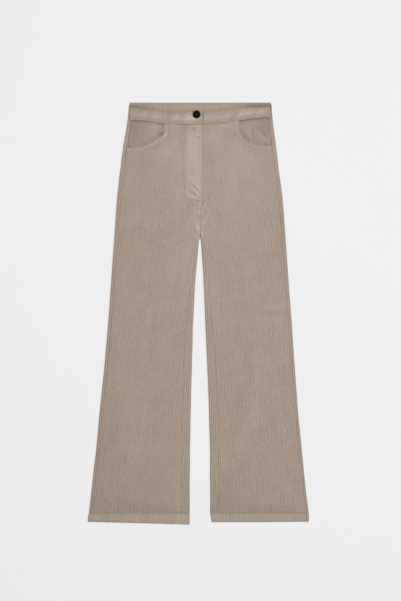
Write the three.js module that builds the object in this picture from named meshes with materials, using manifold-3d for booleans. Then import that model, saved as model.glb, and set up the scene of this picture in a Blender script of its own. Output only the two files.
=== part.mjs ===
// Wide-leg corduroy trousers with a high waist, laid flat on their back with the front side up.
// Millimetres. +X points to the wearer's left, +Y to the waist and +Z up from the surface.
// "Drop" is the distance down the garment from the waist's top edge. "Right" and "left" are the wearer's.
// The cloth is a thin wall: the back panels lie on the surface and roll round both edges of each leg on
// to the front, where the front panels start. The cords of the corduroy stand up from the visible faces.

import * as THREE from 'three';
import Module from 'manifold-3d';
import { mergeVertices } from 'three/addons/utils/BufferGeometryUtils.js';

// Driving dimensions.
const GAP = 0.3; // between two pieces at a seam, or one above the other
const BACKING = 1.2; // corduroy without its cords
const CORD_HEIGHT = 0.7;
const CORD_PITCH = 4.6;
const CLOTH = BACKING + CORD_HEIGHT;
const BACK_CLOTH = 1.5; // the back panels lie pressed by the weight of the front
const BAND_CLOTH = 3.0; // two layers and their interlining
const HEM_CLOTH = 2.9; // turned up once
const HEM_LINE = 1047; // drop of the hem's stitch line
const HEM_GROOVE = 0.5;
const HEM_EDGE = 3; // the rounded end of the hem fold
const CROTCH = 345;
const BACK_BAND_DEPTH = 36;
const WRAP_COLUMNS = { outer: 4, inner: 9 }; // half cords on the strips that roll on to the front
const FOLD_STEPS = 4; // facets round a rolled edge
const SLIVER = 0.4; // nothing ends nearer to an edge than this

// The contour, one row for each station: x of the outer and the inner edge of each leg.
const CONTOUR = [
  { drop: 0, rightOuter: -180, rightInner: 0, leftInner: 0, leftOuter: 181.5 },
  { drop: 45, rightOuter: -185, rightInner: 0, leftInner: 0, leftOuter: 186 },
  { drop: 110, rightOuter: -196, rightInner: 0, leftInner: 0, leftOuter: 194.5 },
  { drop: 175, rightOuter: -204.5, rightInner: 0, leftInner: 0, leftOuter: 202 },
  { drop: 250, rightOuter: -212.5, rightInner: 0, leftInner: 0, leftOuter: 211.5 },
  { drop: 345, rightOuter: -219.5, rightInner: 0, leftInner: 0, leftOuter: 218.5 },
  { drop: 353, rightOuter: -220, rightInner: -2.3, leftInner: 1.8, leftOuter: 219 },
  { drop: 390, rightOuter: -222.7, rightInner: -5.8, leftInner: 4.4, leftOuter: 221.8 },
  { drop: 460, rightOuter: -227.5, rightInner: -11.7, leftInner: 8.7, leftOuter: 227 },
  { drop: 567, rightOuter: -235.4, rightInner: -17.3, leftInner: 13.3, leftOuter: 234.9 },
  { drop: 674, rightOuter: -244.8, rightInner: -20.3, leftInner: 18.1, leftOuter: 242.3 },
  { drop: 781, rightOuter: -255.5, rightInner: -23.2, leftInner: 22.4, leftOuter: 250.2 },
  { drop: 888, rightOuter: -266, rightInner: -25, leftInner: 25, leftOuter: 260.4 },
  { drop: 995, rightOuter: -278.2, rightInner: -25.8, leftInner: 25.5, leftOuter: 271.3 },
  { drop: 1045, rightOuter: -283.4, rightInner: -25.8, leftInner: 25.7, leftOuter: 277.5 },
  { drop: 1062, rightOuter: -286.6, rightInner: -25.8, leftInner: 28, leftOuter: 278.8 },
  { drop: 1078, rightOuter: -286.6, rightInner: -26.3, leftInner: 30.6, leftOuter: 277.4 },
];

// Height of the rolled edges, and how much the middle of a leg stands above them.
const BODY = [
  { drop: 0, edge: 6.3, loft: 0 },
  { drop: 45, edge: 6.3, loft: 0 },
  { drop: 75, edge: 4.9, loft: 0.9 },
  { drop: 115, edge: 4.5, loft: 1.8 },
  { drop: 165, edge: 4.4, loft: 2.5 },
  { drop: 330, edge: 4.4, loft: 2.7 },
  { drop: 500, edge: 4.4, loft: 2.3 },
  { drop: 900, edge: 4.4, loft: 1.9 },
  { drop: 1030, edge: 4.5, loft: 1.3 },
  { drop: 1046, edge: 6.2, loft: 0.3 },
  { drop: 1078, edge: 6.2, loft: 0.3 },
];

// How far the side seam and the inseam lie in from the edges of the leg, on the front.
const SEAM_INSET = [
  { drop: 36, outer: 6, inner: 0 },
  { drop: 60, outer: 10, inner: 0 },
  { drop: 256, outer: 11, inner: 0 },
  { drop: 345, outer: 10, inner: 0 },
  { drop: 440, outer: 9, inner: 9 },
  { drop: 520, outer: 9, inner: 15 },
  { drop: 700, outer: 8, inner: 22 },
  { drop: 1078, outer: 7, inner: 22 },
];

// Sideways drift of the cords as they run down each leg.
const CORD_DRIFT = [
  { drop: 36, right: 0, left: -6 },
  { drop: 165, right: 0, left: -2 },
  { drop: 256, right: -2, left: 6 },
  { drop: 345, right: -7, left: 13 },
  { drop: 440, right: -12.5, left: 18.5 },
  { drop: 520, right: -18, left: 22.5 },
  { drop: 700, right: -34, left: 30.5 },
  { drop: 800, right: -42.5, left: 35 },
  { drop: 1078, right: -61.5, left: 49 },
];

// The line of the centre front seam between the fly and the crotch.
const FRONT_SEAM = [
  { drop: 0, x: 5.5 },
  { drop: 240, x: 5.5 },
  { drop: 256, x: 7 },
  { drop: 270, x: 4.2 },
  { drop: 285, x: 3 },
  { drop: 315, x: 1.2 },
  { drop: 345, x: 0 },
];

// The waist dips at the front: drops of the front band's top edge and of its lower seam.
const WAIST_DIP = [
  { x: -185, top: 10.5, seam: 44 },
  { x: -135, top: 18, seam: 47.5 },
  { x: -93, top: 24, seam: 54.5 },
  { x: -20, top: 25.5, seam: 57 },
  { x: 36, top: 22.5, seam: 55 },
  { x: 85, top: 16.5, seam: 48.5 },
  { x: 134, top: 12.8, seam: 41.5 },
  { x: 187, top: 12, seam: 36.8 },
];

// Scoop pocket mouths: from a corner under the band, in a curve, to the side seam.
const SCOOP = {
  right: { corner: 93, cornerDrop: 80, side: 187, sideDrop: 114.5, power: 2.5 },
  left: { corner: 99, cornerDrop: 72, side: 187, sideDrop: 110.5, power: 3.4 },
};
const FACING_UNDERLAP = 17; // how far the hip facing runs on under the front panel
const POCKET_LIFT = CLOTH + GAP;

// The fly: the right front laps over the left, with a facing behind it down to the J stitch.
const FLY = { stitchX: -41, bottom: 251, underlapX: -2, facing: 0.9, rampFrom: -30, rampTo: -6 };
const SHIELD = { left: -44, right: 12, top: 60, bottom: 254, thickness: 1.1 };
const ZIP = { left: -28, right: -3, top: 62, bottom: 246, thickness: 1.1 };
const BAND_TOP = 6.4;
const BAND_UNDERLAP_X = -33;
const BAND_ROUND = 0.8;
const BAND_RADIUS = BAND_CLOTH + GAP / 2; // of the band's rolled ends

const BUTTON = { x: -8.7, drop: 31.6, radius: 10, thickness: 3.2, dish: 1.0, rim: 2.6 };
const BUTTON_HOLES = { count: 4, radius: 0.9, ring: 2.1, sides: 8 };

// The largest soft folds: each a curve from one end through the middle to the other, in x and drop.
const FOLDS = [
  { from: [158, 640], middle: [132, 790], to: [68, 960], width: 26, height: 1.6 },
  { from: [130, 560], middle: [124, 700], to: [72, 830], width: 22, height: -1.1 },
  { from: [150, 860], middle: [112, 940], to: [56, 1005], width: 20, height: -1.0 },
  { from: [188, 185], middle: [168, 245], to: [134, 310], width: 24, height: 1.1 },
  { from: [-74, 360], middle: [-118, 560], to: [-214, 900], width: 30, height: 1.3 },
];

// Rows of the front panels, and the fewer ones of the back panels. The contour is straight between the
// back panels' rows, so that both panels share their seam lines.
const FRONT_ROWS = [85, 116, 138, 165, 248, 256, 286, 345, 353, 385, 450, 540, 640, 740, 840, 940, 1043,
  1047, 1051];
const BACK_ROWS = [60, 116, 165, 256, 345, 353, 385, 450, 540, 640, 740, 840, 940, 1043, 1047, 1051];

const COLOURS = {
  corduroy: 0xa5968a,
  facing: 0x9d8d80,
  inside: 0xa39a8c,
  hidden: 0x9c8f82,
  zip: 0x8d8479,
  button: 0x17120f,
};

// Numbers and curves.

function clamp(value, low, high) {
  return Math.min(Math.max(value, low), high);
}

function mix(a, b, t) {
  return a + (b - a) * t;
}

function smooth(value, from, to) {
  const t = clamp((value - from) / (to - from), 0, 1);
  return t * t * (3 - 2 * t);
}

// Reads a column of a table at any value of its first column, along a curve that doesn't overshoot.
function along(table, key, column) {
  const at = table.map((row) => row[key]);
  const value = table.map((row) => row[column]);
  const slope = at.slice(1).map((next, i) => (value[i + 1] - value[i]) / (next - at[i]));
  const tangent = at.map((_, i) => {
    const before = slope[Math.max(i - 1, 0)];
    const after = slope[Math.min(i, slope.length - 1)];
    return before * after > 0 ? (2 * before * after) / (before + after) : 0;
  });
  return (position) => {
    const p = clamp(position, at[0], at[at.length - 1]);
    const i = clamp(at.findIndex((next) => next >= p) - 1, 0, at.length - 2);
    const span = at[i + 1] - at[i];
    const t = (p - at[i]) / span;
    const rise = t * t * (3 - 2 * t);
    const ends = span * t * (1 - t) * ((1 - t) * tangent[i] - t * tangent[i + 1]);
    return mix(value[i], value[i + 1], rise) + ends;
  };
}

// The same function, made of straight lines between the back panels' rows.
const STATIONS = [0, BACK_BAND_DEPTH, ...BACK_ROWS, 1078];
function straightened(read) {
  return (drop) => {
    const d = clamp(drop, STATIONS[0], STATIONS[STATIONS.length - 1]);
    const i = Math.max(STATIONS.findIndex((next) => next >= d), 1);
    const t = (d - STATIONS[i - 1]) / (STATIONS[i] - STATIONS[i - 1]);
    return mix(read(STATIONS[i - 1]), read(STATIONS[i]), t);
  };
}

const edgeHeight = along(BODY, 'drop', 'edge');
const loftHeight = along(BODY, 'drop', 'loft');
const bandTopDrop = along(WAIST_DIP, 'x', 'top');
const bandSeamDrop = along(WAIST_DIP, 'x', 'seam');
const frontSeamX = along(FRONT_SEAM, 'drop', 'x');
const insetOuter = along(SEAM_INSET, 'drop', 'outer');
const insetInner = along(SEAM_INSET, 'drop', 'inner');

// Each leg: its sign along X, its edges, and the seams on its front.
function legSide(name, sign) {
  const outer = straightened(along(CONTOUR, 'drop', `${name}Outer`));
  const inner = straightened(along(CONTOUR, 'drop', `${name}Inner`));
  const side = { name, sign, outer, inner, drift: along(CORD_DRIFT, 'drop', name) };
  side.outerSeam = straightened((drop) => outer(drop) - sign * insetOuter(drop));
  side.innerSeam = (drop) => inner(drop) + sign * Math.max(insetInner(drop), rollRadius(side, drop) + GAP);
  side.scoop = SCOOP[name];
  return side;
}
const RIGHT = legSide('right', -1);
const LEFT = legSide('left', 1);

// Where the side seam starts, under the band.
function sideSeamTop(side) {
  return bandSeamDrop(side.outer(45)) + GAP;
}

function hemDrop(side, x) {
  const inward = clamp((Math.abs(x) - 38) / 242, 0, 1);
  return side === RIGHT ? mix(1077.2, 1070.6, inward) : mix(1071.2, 1070, inward ** 4);
}

// Height that one fold adds at a place.
function foldHeight(fold, x, drop) {
  const steps = 20;
  let nearest = Infinity;
  let nearestT = 0;
  for (let i = 0; i <= steps; i += 1) {
    const t = i / steps;
    const [a, b, c] = [(1 - t) ** 2, 2 * t * (1 - t), t * t];
    const px = a * fold.from[0] + b * fold.middle[0] + c * fold.to[0];
    const pd = a * fold.from[1] + b * fold.middle[1] + c * fold.to[1];
    const distance = Math.hypot(x - px, drop - pd);
    if (distance < nearest) {
      nearest = distance;
      nearestT = t;
    }
  }
  const taper = Math.sin(Math.PI * clamp(nearestT, 0.06, 0.94)) ** 0.7;
  return fold.height * taper * Math.exp(-((nearest / fold.width) ** 2));
}

// Height of the tops of the cords over the surface, before anything that lies under the front lifts it.
function bodyHeight(side, x, drop) {
  const fromOuter = Math.max(Math.abs(side.outer(drop)) - Math.abs(x), 0);
  const fromInner = Math.max((x - side.inner(drop)) * side.sign, 0);
  const rise = 1 - Math.exp(-fromOuter / 34);
  const innerRise = mix(1, 1 - Math.exp(-fromInner / 30), smooth(drop, CROTCH - 20, CROTCH + 60));
  const folds = FOLDS.reduce((sum, fold) => sum + foldHeight(fold, x, drop), 0);
  return edgeHeight(drop) + (loftHeight(drop) + folds) * rise * innerRise;
}

function rollRadius(side, drop) {
  return bodyHeight(side, side.inner(drop), drop) / 2;
}

// What lies under the front panels lifts them: the hip facing, and at the fly the left front.
function pocketLift(side, x, drop) {
  const innerEdge = side.scoop.corner - FACING_UNDERLAP;
  return POCKET_LIFT * smooth(Math.abs(x), innerEdge - 24, innerEdge - 5) * (1 - smooth(drop, 138, 166));
}

function flyMask(x, drop) {
  return smooth(x, FLY.stitchX - 1.5, FLY.stitchX + 1.5) * (1 - smooth(drop, FLY.bottom - 3, FLY.bottom + 4));
}

function lapLift(x, drop) {
  return (CLOTH + GAP) * smooth(x, FLY.rampFrom, FLY.rampTo) * (1 - smooth(drop, 257, 286));
}

function hemGroove(drop) {
  return HEM_GROOVE * Math.max(0, 1 - Math.abs(drop - HEM_LINE) / 3);
}

function panelTop(side, x, drop) {
  const fly = side === RIGHT ? FLY.facing * flyMask(x, drop) + lapLift(x, drop) : 0;
  return bodyHeight(side, x, drop) + pocketLift(side, x, drop) + fly - hemGroove(drop);
}

function panelCloth(side, x, drop) {
  const fly = side === RIGHT ? FLY.facing * flyMask(x, drop) : 0;
  return mix(CLOTH + fly, HEM_CLOTH, smooth(drop, HEM_LINE - 8, HEM_LINE)) - hemGroove(drop);
}

// Closed walls.

// Joins two grids of points, one for each face of the wall, and closes their four borders. Both have the
// same rows. Their columns may differ, and columnsAt says where each column lies along the row. Points
// that fall together make no faces.
function closedWall(faceA, faceB) {
  const position = [];
  const index = [];
  const known = new Map();
  const vertex = (p) => {
    const key = p.map((value) => Math.round(value * 1000)).join();
    if (!known.has(key)) {
      known.set(key, known.size);
      position.push(...p);
    }
    return known.get(key);
  };
  const triangle = (a, b, c) => {
    if (a !== b && b !== c && c !== a) index.push(a, b, c);
  };
  const gridA = faceA.rows.map((row) => row.map(vertex));
  const gridB = faceB.rows.map((row) => row.map(vertex));
  const last = gridA.length - 1;
  for (let i = 0; i < last; i += 1) {
    for (let k = 0; k + 1 < gridA[i].length; k += 1) {
      triangle(gridA[i][k], gridA[i + 1][k], gridA[i + 1][k + 1]);
      triangle(gridA[i][k], gridA[i + 1][k + 1], gridA[i][k + 1]);
    }
    for (let k = 0; k + 1 < gridB[i].length; k += 1) {
      triangle(gridB[i][k], gridB[i + 1][k + 1], gridB[i + 1][k]);
      triangle(gridB[i][k], gridB[i][k + 1], gridB[i + 1][k + 1]);
    }
  }
  const border = (a, b, atA, atB) => {
    let i = 0;
    let j = 0;
    while (i + 1 < a.length || j + 1 < b.length) {
      const nextA = i + 1 < a.length ? atA[i + 1] : Infinity;
      const nextB = j + 1 < b.length ? atB[j + 1] : Infinity;
      if (nextA <= nextB) {
        triangle(a[i], a[i + 1], b[j]);
        i += 1;
      } else {
        triangle(a[i], b[j + 1], b[j]);
        j += 1;
      }
    }
  };
  const column = (grid, pick) => grid.map((row) => row[pick(row)]);
  const first = () => 0;
  const end = (row) => row.length - 1;
  const rowNumbers = gridA.map((_, i) => i);
  border(gridA[0], gridB[0], faceA.columnsAt, faceB.columnsAt);
  border(column(gridA, end), column(gridB, end), rowNumbers, rowNumbers);
  const backwards = (list) => [...list].reverse();
  const negated = (list) => backwards(list).map((value) => -value);
  border(backwards(gridA[last]), backwards(gridB[last]), negated(faceA.columnsAt), negated(faceB.columnsAt));
  border(backwards(column(gridA, first)), backwards(column(gridB, first)), rowNumbers, rowNumbers);

  const geometry = new THREE.BufferGeometry();
  geometry.setAttribute('position', new THREE.Float32BufferAttribute(position, 3));
  geometry.setIndex(facingOut(position, index));
  return geometry;
}

// Turns every triangle over if the solid is inside out.
function facingOut(position, index) {
  const point = (i) => new THREE.Vector3().fromArray(position, i * 3);
  let volume = 0;
  for (let i = 0; i < index.length; i += 3) {
    const [a, b, c] = [point(index[i]), point(index[i + 1]), point(index[i + 2])];
    volume += a.dot(b.cross(c));
  }
  if (volume > 0) return index;
  const turned = [...index];
  for (let i = 0; i < turned.length; i += 3) [turned[i + 1], turned[i + 2]] = [turned[i + 2], turned[i + 1]];
  return turned;
}

// Half cords across a piece: numbered lines, odd on top of a cord and even in the valley beside it.
function cordNumbers(lowX, highX) {
  const half = CORD_PITCH / 2;
  const numbers = [];
  for (let n = Math.ceil(lowX / half); n <= Math.floor(highX / half); n += 1) numbers.push(n);
  return numbers;
}

function valley(number) {
  return number % 2 === 0 ? CORD_HEIGHT : 0;
}

// Moves a value on to a limit that it passes or almost touches, so that no sliver is left beside it.
function onto(value, low, high) {
  if (value < low + SLIVER) return low;
  if (value > high - SLIVER) return high;
  return value;
}

// A piece of cloth whose cords run from its top edge to its lower edge. The limits, edges and heights are
// functions. The plain inside keeps only some of the columns, and those beside a corner of the outline.
function cordedPiece({ rows, lowX, highX, drift, topEdge, lowerEdge, top, cloth, cornerX, plainEvery, round }) {
  const half = CORD_PITCH / 2;
  const drops = [0, ...rows, Infinity];
  const lowest = Math.min(...rows.map((drop) => lowX(drop) - drift(drop)));
  const highest = Math.max(...rows.map((drop) => highX(drop) - drift(drop)));
  const numbers = cordNumbers(lowest, highest);
  const lines = [-Infinity, ...numbers, Infinity];
  const place = (line, drop) => {
    const above = drop === Infinity ? 0 : HEM_EDGE;
    let y = clamp(drop, 0, CONTOUR[CONTOUR.length - 1].drop);
    let x = 0;
    for (let pass = 0; pass < 6; pass += 1) {
      x = onto(line * half + drift(y), lowX(y), highX(y));
      y = onto(drop, topEdge(x), lowerEdge(x) - above);
    }
    return { x, y, onEdge: Math.min(x - lowX(y), highX(y) - x) < SLIVER / 2 };
  };
  const raised = (line, drop) => {
    const { x, y, onEdge } = place(line, drop);
    const sunk = onEdge ? CORD_HEIGHT / 2 : valley(line);
    return [x, -y, top(x, y) - sunk - (drop === Infinity ? round : 0)];
  };
  const plain = (line, drop) => {
    const { x, y } = place(line, drop);
    return [x, -y, top(x, y) - cloth(x, y) + (drop === Infinity ? round * 0.3 : 0)];
  };
  const beside = (line) => Math.abs(line * half - cornerX) <= half;
  const few = lines.filter((line) => !Number.isFinite(line) || line % plainEvery === 0 || beside(line));
  const span = (line) => clamp(line, numbers[0] - 1, numbers[numbers.length - 1] + 1);
  return closedWall(
    { rows: drops.map((drop) => lines.map((line) => raised(line, drop))), columnsAt: lines.map(span) },
    { rows: drops.map((drop) => few.map((line) => plain(line, drop))), columnsAt: few.map(span) },
  );
}

// Front panels.

function scoopDrop(side, x) {
  const { corner, cornerDrop, side: sideX, sideDrop, power } = side.scoop;
  const t = clamp((Math.abs(x) - corner) / (sideX - corner), 0, 1);
  return mix(sideDrop, cornerDrop, (1 - t) ** power);
}

function frontTopEdge(side, x) {
  return Math.abs(x) > side.scoop.corner ? scoopDrop(side, x) : bandSeamDrop(x) + GAP;
}

function centreEdge(side, drop) {
  if (drop >= CROTCH + 1) return side.innerSeam(drop) + (side.sign * GAP) / 2;
  if (side === LEFT && drop < 252) return FLY.underlapX;
  return frontSeamX(drop) + (side.sign * GAP) / 2;
}

function frontPanel(side) {
  const outerLimit = (drop) => side.outerSeam(drop) - (side.sign * GAP) / 2;
  const centreLimit = (drop) => centreEdge(side, drop);
  return cordedPiece({
    rows: FRONT_ROWS,
    lowX: side === RIGHT ? outerLimit : centreLimit,
    highX: side === RIGHT ? centreLimit : outerLimit,
    drift: side.drift,
    topEdge: (x) => frontTopEdge(side, x),
    lowerEdge: (x) => hemDrop(side, x),
    top: (x, drop) => panelTop(side, x, drop),
    cloth: (x, drop) => panelCloth(side, x, drop),
    cornerX: side.sign * side.scoop.corner,
    plainEvery: 8,
    round: 1,
  });
}

// Hip facings, in the pocket mouths.

function pocketFacing(side) {
  const bottom = side.scoop.sideDrop + 20;
  const sideLimit = (drop) => {
    const seam = side.outerSeam(drop) - (side.sign * GAP) / 2;
    return seam - side.sign * 6 * smooth(drop, side.scoop.sideDrop - 6, side.scoop.sideDrop);
  };
  const innerLimit = () => side.sign * (side.scoop.corner - FACING_UNDERLAP);
  return cordedPiece({
    rows: [60, 88, side.scoop.sideDrop - 6, side.scoop.sideDrop],
    lowX: side === RIGHT ? sideLimit : innerLimit,
    highX: side === RIGHT ? innerLimit : sideLimit,
    drift: side.drift,
    topEdge: (x) => bandSeamDrop(x) + GAP,
    lowerEdge: () => bottom,
    top: (x, drop) => bodyHeight(side, x, drop),
    cloth: () => CLOTH,
    cornerX: side.sign * side.scoop.corner,
    plainEvery: 4,
    round: 0.3,
  });
}

// A section that lies flat and rolls up and over at its two edges. Each stop along it has a place, and
// "over" says how far round a roll it lies, from 0 on the surface to 1 on top.

function rolledSection({ outer, inner, outerTip, innerTip, cloth, outerHeight, innerHeight, unrolled, face }) {
  const sign = Math.sign(outer - inner);
  const stops = [];
  const add = (x, z, over, at) => stops.push({ x, z, over, at });
  const inside = face === 'inside';
  const roll = (edge, height, direction, from, to, at) => {
    const radius = height / 2;
    const reach = inside ? Math.max(radius - cloth, 0.1) : radius;
    for (let i = 0; i <= FOLD_STEPS; i += 1) {
      const over = mix(from, to, i / FOLD_STEPS);
      const turn = Math.PI * over;
      const x = edge - direction * (radius - Math.sin(turn) * reach);
      add(x, radius - Math.cos(turn) * reach, over, at + (i / FOLD_STEPS) * 0.9);
    }
  };
  const wrap = (edge, tip, height, direction, columns, at, outwards) => {
    const start = edge - (direction * height) / 2;
    const count = inside ? 1 : columns;
    for (let i = 1; i <= count; i += 1) {
      const free = start - direction * (CORD_PITCH / 2) * i;
      const beyond = i === count || (tip - free) * direction >= 0;
      const x = beyond ? tip : free;
      const sunk = inside ? cloth : beyond ? CORD_HEIGHT / 2 : valley(i);
      stops.push({ x, top: true, sunk, over: 1, at: at + (outwards ? i : -i) * (0.9 / count) });
    }
  };
  wrap(outer, outerTip, outerHeight, sign, WRAP_COLUMNS.outer, 1, false);
  stops.reverse();
  roll(outer, outerHeight, sign, 1, 0, 1);
  const flatZ = inside ? cloth : 0;
  for (const t of [0.33, 0.67]) add(mix(outer, inner, t), flatZ, 0, 2 + t);
  if (unrolled) {
    for (let i = 0; i <= FOLD_STEPS; i += 1) add(inner, flatZ, 0, 3 + (i / FOLD_STEPS) * 0.9);
    for (let i = 1; i <= (inside ? 1 : WRAP_COLUMNS.inner); i += 1) {
      add(inner, flatZ, 0, 4 + i * (0.9 / (inside ? 1 : WRAP_COLUMNS.inner)));
    }
    return stops;
  }
  roll(inner, innerHeight, -sign, 0, 1, 3);
  wrap(inner, innerTip, innerHeight, -sign, WRAP_COLUMNS.inner, 4, true);
  return stops;
}

// Back panels.

function backPanel(side) {
  const tipGap = (side.sign * GAP) / 2;
  const section = ({ outerDrop, innerDrop, dropAt }, face) => {
    const aboveCrotch = innerDrop <= CROTCH;
    const stops = rolledSection({
      outer: side.outer(outerDrop),
      inner: aboveCrotch ? tipGap : side.inner(innerDrop),
      outerTip: side.outerSeam(outerDrop) + tipGap,
      innerTip: side.innerSeam(innerDrop) - tipGap,
      cloth: mix(BACK_CLOTH, HEM_CLOTH, smooth(outerDrop, HEM_LINE - 8, HEM_LINE)),
      outerHeight: edgeHeight(outerDrop),
      innerHeight: rollRadius(side, innerDrop) * 2,
      unrolled: aboveCrotch,
      face,
    });
    return stops.map((stop) => {
      const drop = dropAt(stop);
      const z = stop.top ? panelTop(side, stop.x, drop) - pocketLift(side, stop.x, drop) - stop.sunk : stop.z;
      return { at: stop.at, point: [stop.x, -drop, z] };
    });
  };
  const straightRow = (drop) => ({ outerDrop: drop, innerDrop: drop, dropAt: () => drop });
  const topRow = {
    outerDrop: sideSeamTop(side),
    innerDrop: BACK_BAND_DEPTH + GAP,
    dropAt: (stop) => mix(BACK_BAND_DEPTH, bandSeamDrop(stop.x), stop.over) + GAP,
  };
  const hemRow = (up) => ({
    outerDrop: hemDrop(side, side.outer(HEM_LINE)) - up,
    innerDrop: hemDrop(side, side.inner(HEM_LINE)) - up,
    dropAt: (stop) => hemDrop(side, stop.x) - up,
  });
  const rows = [topRow, ...BACK_ROWS.map(straightRow), hemRow(HEM_EDGE), hemRow(0)];
  const faceOf = (face) => {
    const sections = rows.map((row) => section(row, face));
    return {
      rows: sections.map((stops) => stops.map((stop) => stop.point)),
      columnsAt: sections[0].map((stop) => stop.at),
    };
  };
  return closedWall(faceOf('outside'), faceOf('inside'));
}

// Waistband.

// Where the rolled end of the band lies at a depth between its top edge, 0, and its lower seam, 1.
function bandEdge(side, depth) {
  return side.outer(mix(bandTopDrop(side.outer(0)), sideSeamTop(side), depth));
}

// The back band lies on the surface and its ends roll up to the front bands. Its inside shows above the
// front bands, so that face has the cords.
function backBand() {
  const depthSteps = [0, 0.1, 1];
  const flatStart = (side) => bandEdge(side, 0) - side.sign * (BAND_RADIUS + 1);
  const numbers = cordNumbers(flatStart(RIGHT), flatStart(LEFT));
  const roll = (side, over, reach, at) => {
    const turn = Math.PI * over;
    const x = (depth) => bandEdge(side, depth) - side.sign * (BAND_RADIUS - Math.sin(turn) * reach);
    return { x, z: BAND_RADIUS - Math.cos(turn) * reach, over, at, corded: false };
  };
  const flat = (x, z, at, corded) => ({ x: () => x, z, over: 0, at, corded });
  const steps = [...Array(FOLD_STEPS + 1).keys()].map((i) => i / FOLD_STEPS);
  const faceOf = (middle, reach) => {
    const columns = [
      ...steps.map((t) => roll(RIGHT, 1 - t, reach, t * 0.9)),
      ...middle,
      ...steps.map((t) => roll(LEFT, t, reach, 2.1 + t * 0.9)),
    ];
    const rows = depthSteps.map((depth) => columns.map(({ x, z, over, corded }) => {
      const topDrop = mix(0, bandTopDrop(x(depth)), over);
      const lowDrop = mix(BACK_BAND_DEPTH, bandSeamDrop(x(depth)), over);
      const sunk = corded && depth === 0 ? BAND_ROUND : 0;
      return [x(depth), -mix(topDrop, lowDrop, depth), z - sunk];
    }));
    return { rows, columnsAt: columns.map((column) => column.at) };
  };
  const at = (i) => 1 + (i + 1) / (numbers.length + 1);
  const xOf = (n) => (n * CORD_PITCH) / 2;
  const inside = numbers.map((n, i) => flat(xOf(n), BAND_CLOTH - valley(n), at(i), valley(n) === 0));
  const under = numbers.map((n, i) => flat(xOf(n), 0, at(i), false)).filter((_, i) => i % 6 === 3);
  return closedWall(faceOf(under, BAND_RADIUS), faceOf(inside, BAND_RADIUS - BAND_CLOTH));
}

// The front bands are strips between two drops. The right one climbs over the left one's end.
function frontBand(side) {
  const sideX = (depth) => bandEdge(side, depth) - side.sign * (BAND_RADIUS + GAP);
  const centreX = side === RIGHT ? FRONT_SEAM[0].x : BAND_UNDERLAP_X;
  const lowX = side === RIGHT ? sideX : () => centreX;
  const highX = side === RIGHT ? () => centreX : sideX;
  const climb = (x) => (side === RIGHT ? (BAND_CLOTH + GAP) * smooth(x, -52, BAND_UNDERLAP_X - 1) : 0);
  const numbers = cordNumbers(Math.max(lowX(0), lowX(1)) + 1, Math.min(highX(0), highX(1)) - 1);
  const columns = [
    { x: lowX, sunk: BAND_ROUND, at: numbers[0] - 1, plain: true },
    ...numbers.map((n) => ({ x: () => (n * CORD_PITCH) / 2, sunk: valley(n), at: n, plain: n % 3 === 0 })),
    { x: highX, sunk: BAND_ROUND, at: numbers[numbers.length - 1] + 1, plain: true },
  ];
  const depthSteps = [0, 0.06, 0.94, 1];
  const faceOf = (list, height) => ({
    rows: depthSteps.map((depth) => list.map((column) => {
      const x = column.x(depth);
      const drop = mix(bandTopDrop(x), bandSeamDrop(x), depth);
      return [x, -drop, climb(x) + height(column, depth === 0 || depth === 1)];
    })),
    columnsAt: list.map((column) => column.at),
  });
  const outside = faceOf(columns, ({ sunk }, onEdge) => BAND_TOP - Math.max(sunk, onEdge ? BAND_ROUND : 0));
  const inside = faceOf(columns.filter((column) => column.plain), () => BAND_TOP - BAND_CLOTH);
  return closedWall(outside, inside);
}

// Hidden strips under the lap of the fly.

function flatStrip({ left, right, top, bottom, thickness }, baseZ) {
  const shape = new THREE.Shape();
  const corner = 4;
  shape.moveTo(left, -top);
  shape.lineTo(left, -(bottom - corner));
  shape.quadraticCurveTo(left, -bottom, left + corner, -bottom);
  shape.lineTo(right - corner, -bottom);
  shape.quadraticCurveTo(right, -bottom, right, -(bottom - corner));
  shape.lineTo(right, -top);
  shape.closePath();
  const geometry = new THREE.ExtrudeGeometry(shape, { depth: thickness, bevelEnabled: false, curveSegments: 3 });
  geometry.translate(0, 0, baseZ);
  return geometry;
}

// Button.

function toManifold(wasm, geometry) {
  const bare = geometry.clone();
  bare.deleteAttribute('normal');
  bare.deleteAttribute('uv');
  const merged = mergeVertices(bare, 1e-4);
  const vertProperties = new Float32Array(merged.attributes.position.array);
  const triVerts = new Uint32Array(merged.index.array);
  return new wasm.Manifold(new wasm.Mesh({ numProp: 3, vertProperties, triVerts }));
}

function fromManifold(solid) {
  const mesh = solid.getMesh();
  const geometry = new THREE.BufferGeometry();
  geometry.setAttribute('position', new THREE.Float32BufferAttribute(mesh.vertProperties, 3));
  geometry.setIndex([...mesh.triVerts]);
  return geometry;
}

async function buttonGeometry() {
  const wasm = await Module();
  wasm.setup();
  const { radius, thickness, dish, rim } = BUTTON;
  const profile = [
    [0, 0],
    [radius - 1.6, 0],
    [radius - 0.4, 0.5],
    [radius, 1.4],
    [radius - 0.2, thickness - 0.7],
    [radius - 0.9, thickness - 0.1],
    [radius - 1.6, thickness],
    [radius - rim, thickness - 0.3],
    [radius - rim - 1.4, thickness - dish],
    [0, thickness - dish],
  ].map(([r, z]) => new THREE.Vector2(r, z));
  const disc = new THREE.LatheGeometry(profile, 28);
  disc.rotateX(Math.PI / 2);
  let solid = toManifold(wasm, disc);
  for (let i = 0; i < BUTTON_HOLES.count; i += 1) {
    const turn = ((i + 0.5) / BUTTON_HOLES.count) * 2 * Math.PI;
    const hole = new THREE.CylinderGeometry(
      BUTTON_HOLES.radius, BUTTON_HOLES.radius, thickness * 3, BUTTON_HOLES.sides);
    hole.rotateX(Math.PI / 2);
    hole.translate(BUTTON_HOLES.ring * Math.cos(turn), BUTTON_HOLES.ring * Math.sin(turn), 0);
    solid = solid.subtract(toManifold(wasm, hole));
  }
  return fromManifold(solid);
}

// The garment.

const garment = new THREE.Group();

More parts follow.
